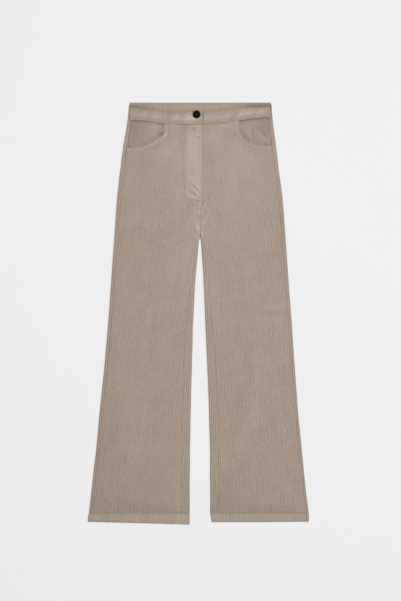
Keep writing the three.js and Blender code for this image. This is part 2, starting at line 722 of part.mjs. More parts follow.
function addPiece(name, geometry, colour, roughness = 0.95) {
  const material = new THREE.MeshStandardMaterial({ color: colour, roughness, metalness: 0 });
  const mesh = new THREE.Mesh(geometry, material);
  mesh.name = name;
  garment.add(mesh);
  return mesh;
}

for (const side of [RIGHT, LEFT]) {
  addPiece(`front_panel_${side.name}`, frontPanel(side), COLOURS.corduroy);
  addPiece(`back_panel_${side.name}`, backPanel(side), COLOURS.corduroy);
  addPiece(`pocket_facing_${side.name}`, pocketFacing(side), COLOURS.facing);
  addPiece(`waistband_front_${side.name}`, frontBand(side), COLOURS.corduroy);
}
addPiece('waistband_back', backBand(), COLOURS.inside);
addPiece('fly_shield', flatStrip(SHIELD, BACK_CLOTH + GAP), COLOURS.hidden);
addPiece('fly_zip', flatStrip(ZIP, BACK_CLOTH + GAP + SHIELD.thickness + GAP), COLOURS.zip);
const button = addPiece('waist_button', await buttonGeometry(), COLOURS.button, 0.35);
button.position.set(BUTTON.x, -BUTTON.drop, BAND_TOP + BAND_CLOTH + GAP * 2);

// The origin is the middle of the underside.
const box = new THREE.Box3().setFromObject(garment);
garment.position.set(-(box.min.x + box.max.x) / 2, -(box.min.y + box.max.y) / 2, -box.min.z);

export default garment;
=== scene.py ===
"""Wide-leg corduroy trousers, laid flat on their back with the front side up.

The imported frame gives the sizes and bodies, and this script makes what shows: every panel as a thin wall
of corduroy with its cords, creases and seams, the stitching, the button, a pale floor and soft light.

A place on the garment is a pair in millimetres: x, towards the wearer's left, and drop, the distance down
from the top edge of the waist. "Right" and "left" are the wearer's. Meshes end in metres.
"""

import logging
import math
from collections.abc import Callable, Sequence
from dataclasses import dataclass, field
from enum import Enum

import bmesh
import bpy
import numpy as np
from mathutils import Matrix, Vector


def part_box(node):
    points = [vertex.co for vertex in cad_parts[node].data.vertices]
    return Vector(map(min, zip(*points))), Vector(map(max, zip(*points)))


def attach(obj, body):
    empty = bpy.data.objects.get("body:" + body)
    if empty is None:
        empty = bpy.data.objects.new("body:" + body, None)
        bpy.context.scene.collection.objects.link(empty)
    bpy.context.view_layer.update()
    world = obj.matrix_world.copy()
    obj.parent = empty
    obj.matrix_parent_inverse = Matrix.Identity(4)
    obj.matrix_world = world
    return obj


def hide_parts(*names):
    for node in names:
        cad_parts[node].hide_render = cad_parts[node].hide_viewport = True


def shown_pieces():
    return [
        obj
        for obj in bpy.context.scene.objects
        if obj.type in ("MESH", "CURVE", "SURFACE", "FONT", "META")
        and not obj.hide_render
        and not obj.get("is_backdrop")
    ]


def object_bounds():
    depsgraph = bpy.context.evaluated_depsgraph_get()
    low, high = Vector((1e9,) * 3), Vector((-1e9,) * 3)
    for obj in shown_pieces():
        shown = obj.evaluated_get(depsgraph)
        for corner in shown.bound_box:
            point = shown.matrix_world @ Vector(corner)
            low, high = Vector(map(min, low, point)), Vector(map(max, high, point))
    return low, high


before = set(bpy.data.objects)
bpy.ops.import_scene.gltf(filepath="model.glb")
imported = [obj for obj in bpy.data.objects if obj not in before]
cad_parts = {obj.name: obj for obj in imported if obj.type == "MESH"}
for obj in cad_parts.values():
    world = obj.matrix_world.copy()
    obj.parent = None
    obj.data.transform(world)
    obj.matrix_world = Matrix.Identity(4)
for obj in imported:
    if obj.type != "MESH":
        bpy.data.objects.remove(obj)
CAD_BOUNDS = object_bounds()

LOG = logging.getLogger("trousers")
Array = np.ndarray
Value = Array | float
Place = tuple[float, float]
Pair = tuple[Array, Array]
Piece = bpy.types.Object
BMesh = bmesh.types.BMesh
Colour = tuple[float, float, float]
Surface = Callable[[Array, Array], Array]  # gives the height of the cloth at places
Number = "Sock | float"  # what takes part in a shader's arithmetic

MM = 0.001
TINY = 1e-9

# Cloth.
GAP = 0.3  # between two layers
SEAM_GAP = 0.06  # between two pieces that are sewn edge to edge
SEAM_ROUND = 0.2  # of the edges along such a seam
PITCH = 4.6  # from one cord to the next
CORD_HEIGHT = 0.75
PRESSED_CORD = 0.45  # on the faces that lie on the floor
CLOTH = 1.9  # thickness of a front panel with its cords, then of the other pieces
BACK_CLOTH = 1.5
BAND_CLOTH = 3.0
HEM_CLOTH = 2.9
LEAST_CLOTH = 0.35  # what a furrow or a groove leaves of the wall
HEM_LINE = 1047.0  # drop of the hem's stitching
HEM_STEP = (HEM_LINE - 8, HEM_LINE)  # drops over which the turned-up cloth thickens the wall
LENGTH = 1078.0
CROTCH = 345.0
BACK_BAND_DEPTH = 36.0
BAND_TOP = 6.4  # height of the front waistband
BAND_RADIUS = BAND_CLOTH + GAP / 2  # of the back waistband's rolled ends
BAND_UNDERLAP = -33.0  # x of the left band's end under the right one
FACING_UNDERLAP = 17.0  # how far a hip facing runs on under the front panel
POCKET_LIFT = CLOTH + GAP
BUTTON_PLACE = (-8.7, 31.6)
FLOOR_ROW = 0.42  # height of a row of stitches on the side that lies on the floor

# Meshes.
STEPS_PER_CORD = 4
EDGE_ROWS = (0.0, 0.6, 1.7)  # extra rows beside a cut or folded edge
SLIVER = 0.35  # a point that is nearer than this to an edge moves on to it
WELD = 0.02
PLACING_PASSES = 6
CUT_ROWS = 2157  # every half millimetre

CONTOUR = dict(
    drop=(0, 45, 110, 175, 250, 345, 353, 390, 460, 567, 674, 781, 888, 995, 1045, 1062, 1078),
    right_outer=(-180, -185, -196, -204.5, -212.5, -219.5, -220, -222.7, -227.5, -235.4, -244.8, -255.5,
                 -266, -278.2, -283.4, -286.6, -286.6),
    right_inner=(0, 0, 0, 0, 0, 0, -2.3, -5.8, -11.7, -17.3, -20.3, -23.2, -25, -25.8, -25.8, -25.8, -26.3),
    left_inner=(0, 0, 0, 0, 0, 0, 1.8, 4.4, 8.7, 13.3, 18.1, 22.4, 25, 25.5, 25.7, 28, 30.6),
    left_outer=(181.5, 186, 194.5, 202, 211.5, 218.5, 219, 221.8, 227, 234.9, 242.3, 250.2, 260.4, 271.3,
                277.5, 278.8, 277.4),
)
BODY = dict(
    drop=(0, 45, 75, 115, 165, 330, 500, 900, 1030, 1046, 1078),
    edge=(6.3, 6.3, 4.9, 4.5, 4.4, 4.4, 4.4, 4.4, 4.5, 6.2, 6.2),
    loft=(0, 0, 0.9, 1.8, 2.5, 2.7, 2.3, 1.9, 1.3, 0.3, 0.3),
)
SEAM_INSET = dict(
    drop=(36, 60, 256, 345, 440, 520, 700, 1078),
    outer=(6, 10, 11, 10, 9, 9, 8, 7),
    inner=(0, 0, 0, 0, 9, 15, 22, 22),
)
CORD_DRIFT = dict(
    drop=(36, 165, 256, 345, 440, 520, 700, 800, 1078),
    right=(0, 0, -2, -7, -12.5, -18, -34, -42.5, -61.5),
    left=(-6, -2, 6, 13, 18.5, 22.5, 30.5, 35, 49),
)
FRONT_SEAM = dict(drop=(0, 240, 256, 270, 285, 315, 345), x=(5.5, 5.5, 7, 4.2, 3, 1.2, 0))
WAIST_DIP = dict(
    x=(-185, -135, -93, -20, 36, 85, 134, 187),
    top=(10.5, 18, 24, 25.5, 22.5, 16.5, 12.8, 12),
    seam=(44, 47.5, 54.5, 57, 55, 48.5, 41.5, 36.8),
)


class Side(Enum):
    """The wearer's side that a piece belongs to, with its sign along X."""

    RIGHT = -1
    LEFT = 1

    @property
    def label(self) -> str:
        """The side as a word for names."""
        return self.name.lower()


# Numbers and curves.


def mix(a: Value, b: Value, t: Value) -> Array:
    """The value that lies the share t of the way from a to b."""
    return a + (b - a) * t


def between(value: Value, start: float, end: float) -> Array:
    """How far a value has come from start, 0, to end, 1."""
    return np.clip((value - start) / (end - start), 0, 1)


def smooth(value: Value, start: float, end: float) -> Array:
    """A soft step from 0 at start to 1 at end."""
    t = between(value, start, end)
    return t * t * (3 - 2 * t)


def bell(distance: Value, width: float) -> Array:
    """A soft bump that is 1 at no distance and nearly 0 at twice the width."""
    return np.exp(-((distance / width) ** 2))


@dataclass(frozen=True)
class Bump:
    """A soft bump, or a groove, with its height or depth and its width."""

    height: float
    width: float

    def __call__(self, distance: Value) -> Array:
        """Its height at a distance from its middle."""
        return self.height * bell(distance, self.width)


RIPPLES = ((0.5, 1, 1.7, 0), (0.32, 1.618, 4.1, 1.3), (0.3, 0.543, 2.3, 0.4))


def ripple(along: Array, period: float, seed: float) -> Array:
    """An uneven wave from about -1 to 1, made of three that don't share a period."""
    turn = 2 * np.pi * along / period
    return sum(high * np.sin(turn * rate + step * seed + start) for high, rate, step, start in RIPPLES)


def rounding(distance: Array, radius: float) -> Array:
    """How far an edge with that radius falls away, at a distance from the edge."""
    inside = np.clip(1 - distance / radius, 0, 1)
    return radius * (1 - np.sqrt(1 - inside**2))


def spots(x: Array, drop: Array, height: Value) -> Array:
    """Rows of x, drop and height."""
    return np.stack(np.broadcast_arrays(x, drop, height), 1)


def onto(value: Array, low: Array, high: Array) -> Array:
    """The value kept within its limits, and moved on to one that it almost touches."""
    value = np.where(value < low + SLIVER, low, value)
    return np.where(value > high - SLIVER, high, value)


class Curve:
    """A smooth curve through two columns of a table, which doesn't overshoot."""

    def __init__(self, at: Sequence[float], values: Sequence[float]) -> None:
        """Works out the tangents.

        Args:
            at: The places, in rising order.
            values: The value at each place.
        """
        self.at = np.asarray(at, float)
        self.values = np.asarray(values, float)
        slope = np.diff(self.values) / np.diff(self.at)
        before = np.concatenate([slope[:1], slope])
        after = np.concatenate([slope, slope[-1:]])
        same_way = before * after > 0
        total = np.where(same_way, before + after, 1)
        self.tangent = np.where(same_way, 2 * before * after / total, 0)

    def __call__(self, position: Value) -> Array:
        """Reads the curve, which is held at its ends.

        Args:
            position: One place or many.

        Returns:
            The value at each place.
        """
        p = np.clip(position, self.at[0], self.at[-1])
        i = np.clip(np.searchsorted(self.at, p) - 1, 0, len(self.at) - 2)
        span = self.at[i + 1] - self.at[i]
        t = (p - self.at[i]) / span
        ends = span * t * (1 - t) * ((1 - t) * self.tangent[i] - t * self.tangent[i + 1])
        return mix(self.values[i], self.values[i + 1], t * t * (3 - 2 * t)) + ends


def bent_line(start: Place, middle: Place, end: Place, steps: int = 24) -> Array:
    """Points on a curve from start towards middle and on to end."""
    t = np.linspace(0, 1, steps)[:, None]
    return (1 - t) ** 2 * np.array(start) + 2 * t * (1 - t) * np.array(middle) + t * t * np.array(end)


def nearest(path: Array, x: Array, drop: Array) -> Pair:
    """Measures places against a path.

    Args:
        path: The points of the path, as places.
        x: The places' x.
        drop: The places' drop.

    Returns:
        The distance from each place to the path, and how far along the path the nearest point lies, 0 to 1.
    """
    best = np.full(np.shape(x), np.inf)
    share = np.zeros(np.shape(x))
    lengths = np.hypot(*np.diff(path, axis=0).T)
    done = np.concatenate([[0], np.cumsum(lengths)])
    for i, length in enumerate(lengths):
        (ax, ad), (bx, bd) = path[i], path[i + 1]
        t = np.clip(((x - ax) * (bx - ax) + (drop - ad) * (bd - ad)) / max(length**2, TINY), 0, 1)
        distance = np.hypot(x - mix(ax, bx, t), drop - mix(ad, bd, t))
        closer = distance < best
        best = np.where(closer, distance, best)
        share = np.where(closer, (done[i] + t * length) / done[-1], share)
    return best, share


# Creases.


@dataclass(frozen=True)
class Crease:
    """A soft ridge along a bent line on the cloth, or a trough where its height is negative."""

    start: Place
    middle: Place
    end: Place
    width: float
    height: float
    reach = 2.6  # widths beyond which it no longer counts
    blunt = 0.06  # share of its length that is left blunt at each end

    def rise(self, x: Array, drop: Array) -> Array:
        """Height that the crease adds.

        Args:
            x, drop: The places.

        Returns:
            Millimetres at each place.
        """
        reach = self.reach * self.width
        xs, drops = zip(self.start, self.middle, self.end)
        near = (x > min(xs) - reach) & (x < max(xs) + reach)
        near &= (drop > min(drops) - reach) & (drop < max(drops) + reach)
        made = np.zeros(np.shape(x))
        if near.any():
            path = bent_line(self.start, self.middle, self.end, 12)
            distance, share = nearest(path, x[near], drop[near])
            taper = np.sin(np.pi * np.clip(share, self.blunt, 1 - self.blunt)) ** 0.7
            made[near] = self.height * taper * bell(distance, self.width)
        return made


def creases(*rows: tuple[Place, Place, Place, float, float]) -> tuple[Crease, ...]:
    """Makes the creases of a table."""
    return tuple(Crease(*row) for row in rows)


# The large folds, which the frame's solids have too: start, middle, end, width and height of each.
FOLDS = creases(
    ((158, 640), (132, 790), (68, 960), 26, 1.6), ((130, 560), (124, 700), (72, 830), 22, -1.1),
    ((150, 860), (112, 940), (56, 1005), 20, -1.0), ((188, 185), (168, 245), (134, 310), 24, 1.1),
    ((-74, 360), (-118, 560), (-214, 900), 30, 1.3),
)
# The finer ones: across the thighs and knees, at the fly and under the pockets.
CREASES = creases(
    ((140, 521), (186, 529), (236, 524), 7, 0.7), ((132, 534), (180, 541), (234, 537), 6, -0.75),
    ((128, 549), (180, 556), (236, 550), 8, 0.7), ((-196, 300), (-130, 309), (-58, 303), 12, 1.0),
    ((-190, 322), (-130, 330), (-66, 322), 11, -0.8), ((-112, 500), (-122, 590), (-140, 660), 11, -1.0),
    ((-96, 470), (-104, 560), (-116, 640), 12, 0.8), ((52, 395), (60, 440), (62, 495), 9, -0.6),
    ((178, 380), (186, 430), (190, 480), 12, -0.6), ((-166, 700), (-150, 770), (-168, 850), 14, -0.6),
    ((-70, 730), (-86, 790), (-84, 850), 12, -0.6), ((-150, 860), (-176, 900), (-206, 960), 13, 0.7),
    ((210, 700), (216, 800), (232, 900), 14, -0.7), ((96, 1010), (66, 1024), (34, 1018), 9, -0.9),
    ((208, 968), (236, 1004), (262, 1012), 9, 0.8), ((-19, 205), (-8, 212), (2, 227), 2.8, 1.1),
    ((-23, 208), (-12, 218), (0, 233), 2.4, -1.0), ((-24, 215), (-12, 226), (0, 239), 2.6, 1.1),
    ((-28, 224), (-16, 234), (-3, 243), 2.6, -0.9), ((-34, 234), (-18, 243), (-4, 247), 2.8, 0.9),
    ((-30, 190), (-22, 196), (-10, 200), 5, 0.6), ((-16.5, 60), (-15.5, 67), (-15, 75), 3.4, -1.1),
    ((-10, 86), (-4, 92), (3, 94), 2.6, -1.2), ((-8, 82), (-2, 87), (3, 88), 2.4, 0.9),
    ((-94, 74), (-101, 82), (-114, 86), 4.5, -1.6), ((-86, 78), (-90, 84), (-98, 92), 3.6, 1.2),
    ((-96, 96), (-110, 100), (-128, 110), 4.5, 0.8), ((-100, 106), (-116, 113), (-136, 119), 4.5, -0.6),
    ((46, 51), (60, 52), (72, 50), 3.2, -0.9), ((44, 60), (58, 61), (74, 58), 4.0, 0.7),
    ((2, 262), (6, 274), (1, 286), 3.4, 1.0), ((10, 270), (11, 284), (6, 298), 3.2, -0.9),
    ((-6, 276), (-8, 290), (-2, 304), 3.4, -0.8), ((12, 290), (13, 306), (8, 322), 4.0, 0.8),
    ((-10, 300), (-10, 316), (-4, 330), 4.0, 0.9), ((-118, 100), (-134, 108), (-160, 124), 7, 0.7),
    ((-70, 108), (-84, 126), (-96, 156), 13, 0.8), ((70, 104), (96, 124), (136, 132), 14, 0.9),
    ((102, 76), (112, 92), (130, 108), 5.0, -1.4), ((120, 62), (130, 80), (132, 104), 4.0, 1.3),
    ((136, 56), (134, 76), (130, 100), 4.0, -1.2), ((140, 70), (152, 86), (168, 100), 3.6, 1.4),
    ((148, 62), (160, 78), (178, 92), 4.0, -1.2), ((108, 58), (120, 72), (124, 92), 3.6, 0.9),
    ((12, 262), (20, 292), (40, 330), 8, 0.6), ((-10, 268), (-22, 296), (-44, 330), 8, 0.6),
    ((6, 352), (24, 372), (52, 392), 8, 0.7), ((-8, 356), (-26, 374), (-54, 398), 8, 0.7),
)
# Long shallow waves of the whole cloth: length, direction in turns and height of each.
WAVES = ((210, 0.02, 0.34), (148, 0.41, 0.27), (97, 0.13, 0.2), (71, 0.33, 0.12), (52, 0.07, 0.08))


@dataclass(frozen=True)
class Patch:
    """A soft oval of painted light on the pile, which is painted shade where its shade is negative."""

    centre: Place
    reach: Place
    shade: float
    turn: float = 0.0

    def tone(self, x: Array, drop: Array) -> Array:
        """Lightness that the patch adds.

        Args:
            x, drop: The places.

        Returns:
            Its share at each place, on the scale of the pile's shade.
        """
        c, s = math.cos(math.radians(self.turn)), math.sin(math.radians(self.turn))
        u = (c * (x - self.centre[0]) + s * (drop - self.centre[1])) / self.reach[0]
        v = (c * (drop - self.centre[1]) - s * (x - self.centre[0])) / self.reach[1]
        return self.shade * np.exp(-(u * u + v * v))


# The patches of painted light and shade: centre, reach, shade and, for some, how far they are turned.
PATCHES = tuple(Patch(*row) for row in (
    ((-86, 146), (42, 34), 0.2), ((84, 158), (44, 40), 0.22),
    ((82, 62), (34, 14), 0.25), ((-10, 58), (20, 12), 0.45),
    ((-114, 62), (16, 20), 0.6), ((-90, 81), (5, 6), 0.4),
    ((-101, 80), (8, 5), -0.9, 30), ((-30, 232), (34, 22), 0.15),
    ((-12, 268), (22, 30), 0.2), ((-4, 326), (14, 30), 0.15),
    ((-16, 120), (12, 44), 0.15), ((-6, 222), (8, 34), 0.15),
    ((34, 92), (32, 26), 0.3), ((30, 470), (34, 70), 0.2),
    ((138, 66), (12, 16), 0.35), ((96, 240), (60, 100), 0.16),
    ((-56, 190), (18, 90), 0.15), ((-140, 350), (70, 40), -0.18),
    ((-40, 400), (34, 90), 0.18), ((-108, 590), (14, 90), -0.2, 12),
    ((-160, 800), (34, 90), 0.16), ((122, 600), (13, 60), -0.25, 4),
    ((98, 760), (14, 60), -0.2, 24), ((150, 690), (18, 60), 0.18, 8),
    ((116, 840), (18, 80), 0.2, 24), ((88, 960), (20, 52), -0.25, 36),
    ((56, 1010), (30, 22), -0.3, 30), ((-190, 1030), (70, 22), -0.3),
    ((-230, 900), (26, 120), -0.2, 8), ((206, 330), (26, 110), -0.2),
    ((150, 1034), (110, 10), -0.25), ((262, 1034), (16, 16), 0.4),
    ((-268, 1056), (12, 16), 0.2),
))
# Grooves that stitching and seams draw into the cloth: depth and width.
MOUTH_GROOVE = Bump(0.55, 1.5)
FLY_GROOVE = Bump(0.55, 1.4)
BAND_GROOVE = Bump(0.5, 1.2)
HEM_GROOVE = Bump(0.9, 1.8)
BACK_HEM_GROOVE = Bump(0.9, 1.7)  # where the back is rolled on to the front
FLOOR_HEM_GROOVE = Bump(0.5, 1.6)  # and where it lies on the floor
SEAM_DIP = Bump(0.14, 3.2)
FACING_DIP = Bump(0.15, 3.2)
FACING_SINKS = Bump(1.5, 5)  # under the waistband
SEAM_EASE = 0.55  # share by which the waistband's seam is drawn in less
SEAM_EASES = (-104, -84)  # x from which that starts, beside the wearer's right pocket

# How the cloth rises from its edges, and what lies under it.
OUTER_RISE = 34  # distance from an edge over which the cloth rises
INNER_RISE = 30
INNER_RISES = (CROTCH - 20, CROTCH + 60)  # drops from which the inner edge counts
LIFT_RAMP = (24, 5)  # how far outside the facing's inner edge the front climbs on to it
LIFT_ENDS = (138, 166)  # drops over which it comes down again
MOUTH_LENGTH = 104  # of the pocket mouth, which runs on under the side seam
MOUTH_SPACING = 1.6  # power that draws its points together at the corner
HEM_SPAN = (38, 280)  # distances from the middle between which the hem slants

# Painted light and shade on the pile, besides the patches.
HEM_SHADE = 0.28  # painted light and shade of the hem's bands, which are lighter below its stitching and darker above
HEM_LIGHT = (HEM_LINE + 1, HEM_LINE + 6)
HEM_DARK = Bump(1, 12)  # painted shade 9 mm above the stitching
HEM_CREST = Bump(0.2, 5)  # painted highlight 8 mm below it
FOLD_DARK, FOLD_REACH = 1.8, 3.5  # painted shade at the fold itself
RIDGE_WEAR_AND_SHADE = 0.42  # painted light on each millimetre of a fine ridge, which is also rubbed lighter, and painted shade in a trough
SHARP_RIDGE = 5  # width beyond which a crease gets less of that light, shade and rubbing
GROOVE_SHADE = 0.55  # painted shade in each millimetre of a stitched groove
MOUTH_SHADE = 0.2  # painted shade on the facing beside the pocket mouth, under the front's edge
MOUTH_RIM_LIGHT = Bump(0.5 * MOUTH_SHADE, 6)  # painted highlight on the front's rounded edge, 3 mm inside the mouth
LAP_SHADOW = Bump(0.4, 2.6)  # on the left front, beside the lap of the fly
FRONT_SEAM_SHADE = Bump(1.2, 1.7)  # painted shade in the front seam below the fly
SEAM_PUCKER = Bump(1, 3)  # painted light on the puckers, 5 mm beside it
EDGE_SHADE, EDGE_REACH = 0.35, 9  # painted shade where the leg's outer edge rounds off
INSEAM_STRIP = Bump(0.12, 16)  # lighter in a strip 22 mm in from the inner edge, low on the leg


@dataclass(frozen=True)
class Puckers:
    """Small uneven waves along a seam, which die away from it."""

    height: float
    period: float
    reach: float

    def rise(self, apart: Array, along: Array, seed: float) -> Array:
        """Height that they add, at a distance from the seam and a place along it."""
        return self.height * np.exp(-apart / self.reach) * ripple(along, self.period, seed)


SEAM_PUCKERS = Puckers(0.22, 17, 7)
HEM_PUCKERS = Puckers(0.42, 21, 13)
HEM_SLANT = 0.7  # of the hem's puckers
CORNER_PUCKER = Bump(0.8, 16)  # at the hem's outer corner, 20 mm in
CORNER_PERIOD, CORNER_SLANT = 13, 0.4


# The halves of the trousers.


class Half:
    """One half of the trousers: where its edges and seams lie, and how high its cloth lies."""

    edge_height = Curve(BODY["drop"], BODY["edge"])
    loft = Curve(BODY["drop"], BODY["loft"])
    band_top = Curve(WAIST_DIP["x"], WAIST_DIP["top"])
    band_seam = Curve(WAIST_DIP["x"], WAIST_DIP["seam"])
    front_seam = Curve(FRONT_SEAM["drop"], FRONT_SEAM["x"])
    inset_outer = Curve(SEAM_INSET["drop"], SEAM_INSET["outer"])
    inset_inner = Curve(SEAM_INSET["drop"], SEAM_INSET["inner"])

    def __init__(self, side: Side, scoop: dict[str, float], hem: tuple[float, float, float]) -> None:
        """Reads the tables for one side.

        Args:
            side: The wearer's side.
            scoop: The size of the pocket mouth.
            hem: The drop of the hem at the inner and at the outer edge, and the power of its curve.
        """
        name = side.label
        self.side = side
        self.sign = side.value
        self.scoop = scoop
        self.hem_ends = hem
        self.outer = Curve(CONTOUR["drop"], CONTOUR[f"{name}_outer"])
        self.inner = Curve(CONTOUR["drop"], CONTOUR[f"{name}_inner"])
        self.drift = Curve(CORD_DRIFT["drop"], CORD_DRIFT[name])
        self.mouth = self._mouth_path()

    def outer_seam(self, drop: Array) -> Array:
        """Where the side seam lies on the front."""
        return self.outer(drop) - self.sign * self.inset_outer(drop)

    def inner_seam(self, drop: Array) -> Array:
        """Where the inseam lies on the front, below the crotch."""
        inset = np.maximum(self.inset_inner(drop), self.edge_height(drop) / 2 + GAP)
        return self.inner(drop) + self.sign * inset

    def side_seam_top(self) -> float:
        """Drop at which the side seam starts, under the band."""
        return float(self.band_seam(self.outer(45.0))) + GAP

    def band_edge(self, depth: Array) -> Array:
        """Where the band's rolled end lies, from its top edge, 0, to its seam, 1."""
        top = self.band_top(self.outer(0.0))
        return self.outer(mix(top, self.side_seam_top(), depth))

    def hem(self, x: Array) -> Array:
        """Drop of the hem."""
        inner, outer, power = self.hem_ends
        return mix(inner, outer, between(np.abs(x), *HEM_SPAN) ** power)

    def scoop_drop(self, x: Array) -> Array:
        """Drop of the pocket mouth."""
        bend = (1 - between(np.abs(x), self.scoop["corner"], self.scoop["side"])) ** self.scoop["power"]
        return mix(self.scoop["side_drop"], self.scoop["corner_drop"], bend)

    def _mouth_path(self) -> Array:
        """Draws the pocket mouth, from the band down its corner and out to the side seam.

        Returns:
            The points of the path, as places.
        """
        corner = self.sign * self.scoop["corner"]
        outwards = self.sign * np.linspace(0, 1, 30) ** MOUTH_SPACING * MOUTH_LENGTH
        x = np.concatenate([[corner] * 2, corner + outwards])
        drop = self.scoop_drop(x)
        drop[0] = self.band_seam(corner)
        return np.stack([x, drop], 1)

    def front_top(self, x: Array) -> Array:
        """Drop of the front panel's top edge."""
        in_mouth = np.abs(x) > self.scoop["corner"]
        return np.where(in_mouth, self.scoop_drop(x), self.band_seam(x) + GAP)

    def centre_edge(self, drop: Array) -> Array:
        """Finds where the front panel ends towards the middle: fly, front seam, then inseam.

        Args:
            drop: The places' drop.

        Returns:
            x of the edge at each drop.
        """
        seam = self.front_seam(drop) + self.sign * SEAM_GAP / 2
        if self.side is Side.LEFT:
            seam = np.where(drop < FLY.lap_end, FLY.underlap, seam)
        below = self.inner_seam(drop) + self.sign * SEAM_GAP / 2
        return np.where(drop >= CROTCH + 1, below, seam)

    def seam_distance(self, x: Array, drop: Array) -> Array:
        """Measures the distance to the nearer of the two long seams.

        Args:
            x, drop: The places.

        Returns:
            Millimetres at each place.
        """
        outer = np.abs(x - self.outer_seam(drop))
        inner = np.where(drop > CROTCH, np.abs(x - self.inner_seam(drop)), np.abs(x - self.front_seam(drop)))
        inner = np.where(drop < FLY.lap_end, np.inf, inner)
        return np.minimum(outer, inner)

    def waves(self, x: Array, drop: Array) -> Array:
        """Adds up the cloth's long shallow waves.

        Args:
            x, drop: The places.

        Returns:
            The waves' height at each place.
        """
        total = np.zeros(np.shape(x))
        for number, (length, turn, height) in enumerate(WAVES):
            a = 2 * math.pi * turn
            along = x * math.cos(a) + drop * math.sin(a)
            total += height * np.sin(2 * np.pi * along / length + 1.9 * number)
        return total

    def body_height(self, x: Array, drop: Array) -> Array:
        """Finds the tops of the cords, before what lies under the front lifts it.

        Args:
            x, drop: The places.

        Returns:
            The height over the floor at each place.
        """
        from_outer = np.maximum(np.abs(self.outer(drop)) - np.abs(x), 0)
        from_inner = np.maximum((x - self.inner(drop)) * self.sign, 0)
        rise = 1 - np.exp(-from_outer / OUTER_RISE)
        inner_rise = mix(1, 1 - np.exp(-from_inner / INNER_RISE), smooth(drop, *INNER_RISES))
        folds = sum(fold.rise(x, drop) for fold in FOLDS)
        folds = folds + sum(crease.rise(x, drop) for crease in CREASES) + self.waves(x, drop)
        return self.edge_height(drop) + (self.loft(drop) + folds) * rise * inner_rise

    def pocket_lift(self, x: Array, drop: Array) -> Array:
        """How far the hip facing lifts the front panel that lies on it."""
        start, end = (self.scoop["corner"] - FACING_UNDERLAP - apart for apart in LIFT_RAMP)
        return POCKET_LIFT * smooth(np.abs(x), start, end) * (1 - smooth(drop, *LIFT_ENDS))

    def puckers(self, x: Array, drop: Array) -> Array:
        """Adds up the small puckers along the seams and across the hem.

        Args:
            x, drop: The places.

        Returns:
            The puckers' height at each place.
        """
        seams = SEAM_PUCKERS.rise(self.seam_distance(x, drop), drop, 1 + self.sign)
        skew = x + HEM_SLANT * (drop - HEM_LINE)
        hem = HEM_PUCKERS.rise(np.maximum(HEM_LINE - drop, 0), skew, 3 + self.sign)
        hem = hem * smooth(np.abs(drop - HEM_LINE), -1, 5)
        corner = CORNER_PUCKER(x - self.outer(drop) + self.sign * 20) * bell(drop - 1026, 15)
        return seams + hem + corner * ripple(drop + CORNER_SLANT * x, CORNER_PERIOD, 2)

    def stitch_grooves(self, x: Array, drop: Array) -> Array:
        """Finds how far the rows of stitching draw the front panel down.

        Args:
            x, drop: The places.

        Returns:
            The grooves' depth at each place.
        """
        mouth, _ = nearest(self.mouth, x, drop)
        groove = sum(MOUTH_GROOVE(mouth - row) for row in MOUTH_ROWS) + HEM_GROOVE(drop - HEM_LINE)
        if self.side is Side.RIGHT:
            for path in FLY.stitch_paths():
                groove = groove + FLY_GROOVE(nearest(path, x, drop)[0])
        return groove

    def panel_top(self, x: Array, drop: Array) -> Array:
        """Finds the tops of the cords on the front panel, with its seams and stitching.

        Args:
            x, drop: The places.

        Returns:
            The height over the floor at each place.
        """
        height = self.body_height(x, drop) + self.pocket_lift(x, drop) + self.puckers(x, drop)
        if self.side is Side.RIGHT:
            height = height + FLY.facing * FLY.mask(x, drop) + FLY.lap_lift(x, drop)
        return height - self.stitch_grooves(x, drop) - SEAM_DIP(self.seam_distance(x, drop))

    def shade(self, x: Array, drop: Array) -> Array:
        """Adds up the painted light and shade of the pile.

        Args:
            x, drop: The places.

        Returns:
            The lightness at each place, about -1 to 1.
        """
        tone = self.patched(x, drop) + self.wear(x, drop) + self.beside_seams(x, drop)
        if self.side is Side.RIGHT:
            tone = tone + FLY.tone(x, drop)
        else:
            beside_lap = LAP_SHADOW(x - self.front_seam(drop) - 1.5) * (0.7 + 0.6 * ripple(drop, 11, 8))
            tone = tone - beside_lap * (drop < FLY.lap_end)
        tone = tone + MOUTH_RIM_LIGHT(nearest(self.mouth, x, drop)[0] - 3)
        return tone + HEM_SHADE * self.hem_bands(x, drop) - GROOVE_SHADE * self.stitch_grooves(x, drop)

    def hem_bands(self, x: Array, drop: Array) -> Array:
        """Painted light and shade round the hem: dark above its stitching, light below it, and dark at the
        fold.
        """
        bands = smooth(drop, *HEM_LIGHT) - HEM_DARK(drop - HEM_LINE + 9) + HEM_CREST(drop - HEM_LINE - 8)
        return bands - FOLD_DARK * smooth(drop, self.hem(x) - FOLD_REACH, self.hem(x))

    def patched(self, x: Array, drop: Array) -> Array:
        """Painted light and shade that the patches add."""
        return sum(patch.tone(x, drop) for patch in PATCHES)

    def wear(self, x: Array, drop: Array) -> Array:
        """Painted light on the finer ridges, which are also rubbed lighter, and painted shade in their
        troughs, most of all on the sharp ones.
        """
        return RIDGE_WEAR_AND_SHADE * sum(c.rise(x, drop) * min(1, SHARP_RIDGE / c.width) for c in CREASES)

    def beside_seams(self, x: Array, drop: Array) -> Array:
        """Finds the painted shade in the front seam below the fly and the painted light on its puckers, a
        lighter strip in from the inner edge low on the leg, and painted shade where the outer edge rounds
        off.

        Args:
            x, drop: The places.

        Returns:
            The lightness that they add at each place.
        """
        across = x - self.front_seam(drop)
        below_fly = smooth(drop, FLY.lap_end - 6, FLY.lap_end + 4)
        below_fly = below_fly * (1 - smooth(drop, CROTCH - 4, CROTCH + 14))
